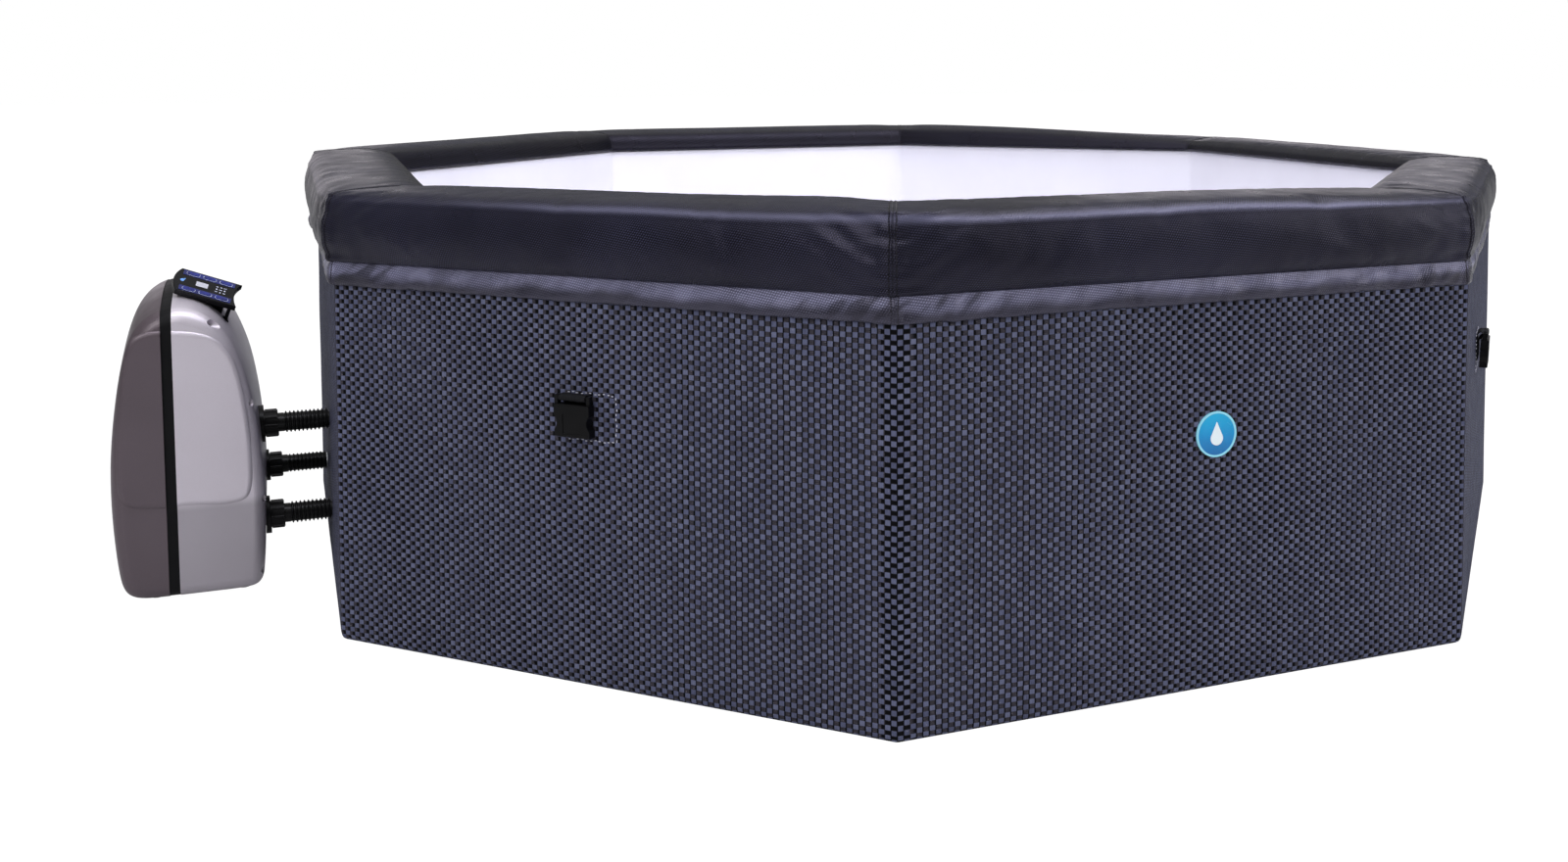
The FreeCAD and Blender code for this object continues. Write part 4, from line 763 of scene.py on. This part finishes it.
MAT_WEB = webbing_material()
tab_path = [(-40, 1.5), (-30, 1.5), (-20, 1.5), (-8, 1.5), (-1.5, 1.7), (2.0, 3.2), (3.9, 6.2)]
for d in (-42, -20, 5, 30, 55, 80, 105, 130, 155, 180, 205, 232):
    tab_path.append((4.0 * math.cos(math.radians(d)), 12.5 + 4.0 * math.sin(math.radians(d))))
tab_path += [(-5.4, 6.6), (-8.4, 3.9), (-13.0, 3.0), (-24.0, 2.8), (-36, 2.8)]
for k, (ang, t) in enumerate(BUCKLES):
    o, ex, ey, ez = tab_frame(ang, t)
    path = resample(tab_path, 1.2)
    xs = np.linspace(-0.019, 0.019, 13)
    rows, uvs = [], []
    vv = 0.0
    for i, (py, pz) in enumerate(path):
        if i:
            vv += math.hypot(py - path[i - 1][0], pz - path[i - 1][1]) * 0.001
        row, uvr = [], []
        for x in xs:
            e = 0.00025 * float(vnoise(x * 300 + k, vv * 90, 81))
            p = o + ex * float(x) + ey * (py * 0.001) + ez * (pz * 0.001 + (e if 0.05 < vv else 0.0))
            row.append(tuple(p))
            uvr.append((x, vv))
        rows.append(row)
        uvs.append(uvr)
    tab = grid_mesh("buckle_tab_%d" % (k + 1), np.array(rows), np.array(uvs), wrap=False, mat=MAT_WEB, body="tub", flip=True)
    so = tab.modifiers.new("thick", "SOLIDIFY")
    so.thickness = 0.0012
    so.offset = 0.0
    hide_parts("buckle_tabs")

# sewn rectangle round each tab, light thread
thread = Mat("thread", 0.6)
thread.color(thread.ramp(thread.noise(300.0, 2.0), [(0.3, lin((150, 151, 166))), (0.7, lin((205, 205, 218)))]))
thread.bump(thread.noise(2000.0, 2.0), 0.0001, 0.6)
verts, faces = [], []


def dash(c, d, n, b, length, width, high):
    """One raised stitch: a small ridge of eight corners."""
    s = len(verts)
    hl, hw = length / 2, width / 2
    for (i, j, k_) in ((-1, -1, 0), (1, -1, 0), (1, 1, 0), (-1, 1, 0), (-0.6, -0.5, 1), (0.6, -0.5, 1), (0.6, 0.5, 1), (-0.6, 0.5, 1)):
        p = c + d * (i * hl) + b * (j * hw) + n * (k_ * high)
        verts.append(tuple(p))
    for f in ((0, 1, 5, 4), (1, 2, 6, 5), (2, 3, 7, 6), (3, 0, 4, 7), (4, 5, 6, 7)):
        faces.append(tuple(s + q for q in f))


for ang, t in BUCKLES:
    o, ex, ey, ez = tab_frame(ang, t)
    x0, x1, y0, y1 = -0.018, 0.053, -0.053, 0.0045
    if t != -0.019:
        x0, x1 = -0.0355, 0.0355
    pitch = 0.0063
    nx, ny = int((x1 - x0) / pitch), int((y1 - y0) / pitch)
    for i in range(nx):
        x = x0 + (i + 0.5) * pitch
        for y in (y0, y1):
            dash(o + ex * (x + 0.0006 * math.sin(i * 2.3 + y * 90)) + ey * (y + 0.0008 * math.sin(i * 1.7 + y * 50)) + ez * 0.0008, ex, ez, ey, 0.0030, 0.0014, 0.0007)
    for i in range(ny):
        y = y0 + (i + 0.5) * pitch
        for x in (x0, x1):
            dash(o + ex * (x + 0.0008 * math.sin(i * 1.9 + x * 50)) + ey * (y + 0.0006 * math.sin(i * 2.1 + x * 90)) + ez * 0.0008, ey, ez, ex, 0.0030, 0.0014, 0.0007)
me = bpy.data.meshes.new("tab_stitching")
me.from_pydata(verts, [], faces)
me.polygons.foreach_set("use_smooth", [True] * len(me.polygons))
me.materials.append(thread.m)
st = bpy.data.objects.new("tab_stitching", me)
bpy.context.scene.collection.objects.link(st)
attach(st, "tub")

# ---------------------------------------------------------------- hard pieces: materials on the CAD nodes
# the silver shell gets the painted shade on its lower zone
SILVER = metallic_paint("silver_shell", (190, 183, 192), (206, 199, 208), (240, 237, 244), 0.36, painted_lower_shade=True)
TAUPE = metallic_paint("taupe_shell", (75, 65, 71), (91, 80, 87), (134, 121, 128), 0.36)
BLACK = moulded("black_moulding", (4, 4, 5), (10, 10, 12), 0.36, spec=0.14)
BAND = moulded("band_rubber", (5, 5, 7), (11, 11, 14), 0.55, spec=0.15)
RUBBER = moulded("hose_rubber", (3, 3, 4), (9, 9, 11), 0.32, grain=500.0, spec=0.18)
WHITE = moulded("white_moulding", (224, 225, 230), (240, 241, 245), 0.35)
PAPER = moulded("filter_paper", (214, 219, 226), (236, 239, 244), 0.8, grain=1400.0, grain_h=0.0002)
FOAM = moulded("foam", (222, 220, 214), (236, 234, 228), 0.9, grain=260.0, grain_h=0.0005)
SHEETM = moulded("ground_sheet", (26, 27, 30), (40, 41, 45), 0.6, grain=400.0, grain_h=0.0003)
METAL = moulded("cast_metal", (150, 152, 156), (178, 180, 184), 0.35, metallic=0.9)
SCREW = moulded("screw_steel", (60, 60, 64), (110, 110, 115), 0.32, metallic=0.9)
PCB = moulded("board", (10, 70, 36), (18, 92, 48), 0.4)
TRAY = moulded("tray", (20, 20, 22), (32, 32, 34), 0.5)
FRONT = moulded("panel_front", (12, 12, 16), (20, 20, 25), 0.24)


def panel_coords(m):
    """Coordinates along, across and out of the panel, in metres."""
    X, Y, Z = m.xyz("Object")
    sl, tl = math.radians(21.0), math.radians(35.0)
    px = (math.cos(sl), 0.0, -math.sin(sl))
    py = (math.sin(tl) * math.sin(sl), math.cos(tl), math.sin(tl) * math.cos(sl))
    c = (-1.1193, -0.0932, 0.4438)

    def dot(w):
        s = m.math("MULTIPLY", m.math("SUBTRACT", X, c[0]), w[0])
        s = m.math("ADD", s, m.math("MULTIPLY", m.math("SUBTRACT", Y, c[1]), w[1]))
        return m.math("ADD", s, m.math("MULTIPLY", m.math("SUBTRACT", Z, c[2]), w[2]))
    return dot(px), dot(py)


def strip_material():
    """Deep blue strip with a thin pale outline round each button."""
    m = Mat("strip_blue", 0.22, 0.0, 0.3)
    pu, pv = panel_coords(m)
    av = m.math("SUBTRACT", m.math("ABSOLUTE", pv), 0.0162)
    fu = m.math("SUBTRACT", m.math("MULTIPLY", m.math("FRACT", m.math("DIVIDE", m.math("ADD", pu, 0.0215 + 0.01125), 0.0225)), 0.0225), 0.01125)
    dx = m.math("MAXIMUM", m.math("SUBTRACT", m.math("ABSOLUTE", fu), 0.0055), 0.0)
    d = m.math("SQRT", m.math("ADD", m.math("MULTIPLY", dx, dx), m.math("MULTIPLY", av, av)))
    ring = m.math("MULTIPLY", m.smooth(d, 0.0027, 0.0030), m.smooth(d, 0.0038, 0.0034))
    n = m.noise(40.0, 3.0)
    base = m.ramp(n, [(0.3, lin((14, 20, 78))), (0.7, lin((26, 38, 118)))])
    m.color(m.mix(ring, base, lin((206, 214, 244))))
    m.rough(m.map(m.noise(120.0, 2.0), 0.3, 0.7, 0.18, 0.28))
    m.b.inputs["Coat Weight"].default_value = 0.2
    return m.m


def button_material():
    m = Mat("button_blue", 0.3, 0.0, 0.3)
    n = m.noise(150.0, 3.0)
    m.color(m.ramp(n, [(0.3, lin((18, 26, 92))), (0.7, lin((34, 46, 134)))]))
    m.rough(m.map(m.noise(300.0, 2.0), 0.3, 0.7, 0.24, 0.36))
    m.bump(m.noise(1500.0, 2.0), 0.00003, 0.5)
    return m.m


def front_material():
    """Black front with small plain pale marks on the right and a drop-shaped mark on the left."""
    m = Mat("panel_front", 0.24, 0.0, 0.2)
    pu, pv = panel_coords(m)
    n = m.noise(30.0, 3.0)
    c = m.ramp(n, [(0.3, lin((6, 6, 8))), (0.7, lin((13, 13, 17)))])

    def disc(cu, cv, r, soft=0.0002):
        a = m.math("SUBTRACT", pu, cu)
        b = m.math("SUBTRACT", pv, cv)
        d = m.math("SQRT", m.math("ADD", m.math("MULTIPLY", a, a), m.math("MULTIPLY", b, b)))
        return m.smooth(d, r + soft, r - soft)

    def bar(cu, cv, hu, hv):
        a = m.math("SUBTRACT", m.math("ABSOLUTE", m.math("SUBTRACT", pu, cu)), hu)
        b = m.math("SUBTRACT", m.math("ABSOLUTE", m.math("SUBTRACT", pv, cv)), hv)
        return m.smooth(m.math("MAXIMUM", a, b), 0.0002, -0.0001)
    for cu, cv, hu, hv in ((0.0135, 0.0052, 0.0016, 0.0006), (0.0190, 0.0052, 0.0013, 0.0006), (0.0245, 0.0052, 0.0018, 0.0006),
                           (0.0135, 0.0, 0.0010, 0.0010), (0.0190, 0.0, 0.0018, 0.0006), (0.0245, 0.0, 0.0010, 0.0010),
                           (0.0135, -0.0052, 0.0016, 0.0006), (0.0190, -0.0052, 0.0010, 0.0010), (0.0245, -0.0052, 0.0016, 0.0006)):
        c = m.mix(bar(cu, cv, hu, hv), c, lin((196, 200, 222)))
    for cu, cv, r in ((-0.0335, -0.0006, 0.0026), (-0.0316, 0.0016, 0.0016), (-0.0303, 0.0034, 0.0008)):
        c = m.mix(disc(cu, cv, r), c, lin((110, 160, 228)))
    m.color(c)
    m.rough(m.map(m.noise(60.0, 3.0), 0.3, 0.7, 0.18, 0.3))
    return m.m


def window_material():
    m = Mat("display", 0.12, 0.0, 0.5)
    pu, pv = panel_coords(m)
    fr = m.math("MAXIMUM", m.math("DIVIDE", m.math("ABSOLUTE", m.math("ADD", pu, 0.0065)), 0.0092), m.math("DIVIDE", m.math("ABSOLUTE", pv), 0.0053))
    c = m.ramp(m.noise(60.0, 2.0), [(0.3, lin((188, 188, 200))), (0.7, lin((206, 206, 216)))])
    c = m.mix(m.smooth(fr, 0.84, 0.90), c, lin((30, 31, 34)))
    m.color(c)
    m.rough(m.map(m.noise(90.0, 2.0), 0.3, 0.7, 0.08, 0.16))
    return m.m


def badge_material():
    m = Mat("badge_enamel", 0.2, 0.0, 0.3)
    X, Y, Z = m.xyz("Object")
    dx = m.math("SUBTRACT", X, 0.016)
    dz = m.math("SUBTRACT", Z, 0.321)
    r = m.math("SQRT", m.math("ADD", m.math("MULTIPLY", dx, dx), m.math("MULTIPLY", dz, dz)))
    # height above the wall plane
    hgt = m.math("SUBTRACT", m.math("ADD", m.math("MULTIPLY", Y, -math.cos(SLOPE)), m.math("MULTIPLY", Z, math.sin(SLOPE))),
                 wall_a(0.321) * math.cos(SLOPE) + 0.321 * math.sin(SLOPE) + 0.00025 * math.cos(SLOPE))
    drop = m.math("MULTIPLY", m.smooth(hgt, 0.00166, 0.00176), m.smooth(r, 0.021, 0.020))
    grad = m.map(m.math("ADD", Z, m.math("MULTIPLY", m.noise(60.0, 3.0), 0.01)), 0.298, 0.350, 0.0, 1.0)
    base = m.ramp(grad, [(0.0, lin((0, 100, 170))), (0.5, lin((0, 142, 205))), (1.0, lin((10, 176, 226)))])
    rimc = m.smooth(r, 0.0250, 0.0256)
    c = m.mix(rimc, base, lin((150, 226, 246)))
    c = m.mix(drop, c, lin((238, 250, 255)))
    m.color(c)
    m.rough(m.map(m.noise(200.0, 3.0), 0.3, 0.7, 0.14, 0.28))
    m.b.inputs["Coat Weight"].default_value = 0.4
    return m.m


def paint(names, mat):
    for n in names:
        o = NODES[n]
        o.data.materials.clear()
        o.data.materials.append(mat)


paint(["housing_tub_side"], SILVER)
paint(["housing_outer"], TAUPE)
paint(["trim_band"], BAND)
paint(["unit_feet", "rubber_seals", "panel_lead", "check_valve_flap"], BAND)
paint(["ribbed_hoses"], RUBBER)
paint(["port_fittings", "union_nut_upper", "union_nut_lower", "union_nut_air", "power_gland", "panel_cradle", "panel_back_case", "drain_body",
       "drain_cap", "buckle_1", "buckle_2", "buckle_3", "buckle_4", "pump_volute", "blower_housing"], BLACK)
paint(["panel_front_bezel"], front_material())
paint(["panel_strips"], strip_material())
paint(["button_%d" % i for i in range(1, 7)], button_material())
paint(["display_window"], window_material())
paint(["panel_board", "control_board"], PCB)
paint(["badge"], badge_material())
PORTS = Mat("port_moulding", 0.36, 0.0, 0.3)
_x, _y, _z = PORTS.xyz()
_n = PORTS.noise(9.0, 4.0)
PORTS.color(PORTS.mix(PORTS.smooth(_x, -0.944, -0.946), PORTS.ramp(_n, [(0.3, lin((224, 225, 230))), (0.7, lin((240, 241, 245)))]), lin((11, 11, 14))))
PORTS.rough(PORTS.map(PORTS.noise(24.0, 3.0), 0.3, 0.7, 0.3, 0.42))
PORTS.bump(PORTS.noise(900.0, 2.0), 0.00006, 0.6)
paint(["wall_port_fittings"], PORTS.m)
paint(["filter_base", "filter_cap", "air_duct", "air_ring", "pump_impeller", "inner_pipework", "blower_fan", "control_box"], WHITE)
paint(["filter_cartridge"], PAPER)
paint(["wall_foam_panels", "floor_foam_pad", "rim_foam"], FOAM)
paint(["base_sheet"], SHEETM)
paint(["pump_motor", "blower_motor", "heater_tube", "heating_element"], METAL)
paint(["casing_screws"], SCREW)
paint(["equipment_tray"], TRAY)

# ---------------------------------------------------------------- floor and light
fm = Mat("floor", 0.7)
fm.color(fm.ramp(fm.noise(0.6, 2.0), [(0.3, (0.62, 0.62, 0.63, 1)), (0.7, (0.65, 0.65, 0.655, 1))]))
flp = fm.node("ShaderNodeLightPath")
fem = fm.node("ShaderNodeEmission")
fem.inputs["Color"].default_value = (1.0, 1.0, 1.0, 1.0)
fem.inputs["Strength"].default_value = 1.16
fmx = fm.node("ShaderNodeMixShader")
fm.link(fm.map(flp.outputs["Is Camera Ray"], 0.0, 1.0, 0.10, 0.86), fmx.inputs[0])
fm.link(fm.b.outputs[0], fmx.inputs[1])
fm.link(fem.outputs[0], fmx.inputs[2])
fm.link(fmx.outputs[0], fm.t.nodes["Material Output"].inputs["Surface"])
me = bpy.data.meshes.new("floor")
me.from_pydata([(-30, -30, 0), (30, -30, 0), (30, 30, 0), (-30, 30, 0)], [], [(0, 1, 2, 3)])
me.materials.append(fm.m)
floor = bpy.data.objects.new("floor", me)
bpy.context.scene.collection.objects.link(floor)

world = bpy.data.worlds.new("studio")
world.use_nodes = True
wt = world.node_tree
bg = wt.nodes["Background"]
bg.inputs["Color"].default_value = (1.0, 1.0, 1.0, 1)
bg.inputs["Strength"].default_value = 0.34
# the backdrop itself is plain white paper, brighter than the light it gives
bg2 = wt.nodes.new("ShaderNodeBackground")
bg2.inputs["Color"].default_value = (1.0, 1.0, 1.0, 1)
bg2.inputs["Strength"].default_value = 1.0
lp = wt.nodes.new("ShaderNodeLightPath")
mx = wt.nodes.new("ShaderNodeMixShader")
# the light it gives is stronger overhead than along the horizon
tc = wt.nodes.new("ShaderNodeTexCoord")
sp = wt.nodes.new("ShaderNodeSeparateXYZ")
wt.links.new(tc.outputs["Generated"], sp.inputs[0])
mr = wt.nodes.new("ShaderNodeMapRange")
mr.inputs["From Min"].default_value = 0.0
mr.inputs["From Max"].default_value = 0.8
mr.inputs["To Min"].default_value = 0.12
mr.inputs["To Max"].default_value = 0.44
wt.links.new(sp.outputs[2], mr.inputs["Value"])
wt.links.new(mr.outputs["Result"], bg.inputs["Strength"])
wt.links.new(lp.outputs["Is Camera Ray"], mx.inputs[0])
wt.links.new(bg.outputs[0], mx.inputs[1])
wt.links.new(bg2.outputs[0], mx.inputs[2])
wt.links.new(mx.outputs[0], wt.nodes["World Output"].inputs["Surface"])
bpy.context.scene.world = world


def area(name, loc, target, size, power, col=(1, 1, 1)):
    d = bpy.data.lights.new(name, "AREA")
    d.shape = "RECTANGLE"
    d.size, d.size_y = size
    d.energy = power
    d.color = col
    o = bpy.data.objects.new(name, d)
    bpy.context.scene.collection.objects.link(o)
    o.location = loc
    o.visible_camera = False
    o.rotation_euler = (Vector(target) - Vector(loc)).to_track_quat("-Z", "Y").to_euler()
    return o


area("key", (-3.2, -3.6, 3.2), (-0.2, 0.0, 0.4), (2.6, 2.0), 80.0)
area("fill", (3.4, -3.4, 2.2), (0.3, 0.0, 0.3), (2.4, 2.0), 48.0)
area("soft_top", (0.3, -0.9, 3.2), (0.1, -0.1, 0.4), (4.6, 0.8), 84.0, (0.90, 0.90, 1.0))
area("back_left", (-1.9, 7.0, 1.6), (-1.0, 0.0, 0.9), (3.0, 2.4), 17.0, (1.0, 0.93, 1.0))
area("back_right", (5.8, 6.5, 1.6), (1.0, 0.0, 0.9), (3.2, 2.4), 20.0, (1.0, 0.93, 1.0))
sun = bpy.data.lights.new("overhead", "SUN")
sun.energy = 0.55
sun.angle = math.radians(70)
so_ = bpy.data.objects.new("overhead", sun)
so_.rotation_euler = (math.radians(-12), math.radians(4), 0)
bpy.context.scene.collection.objects.link(so_)
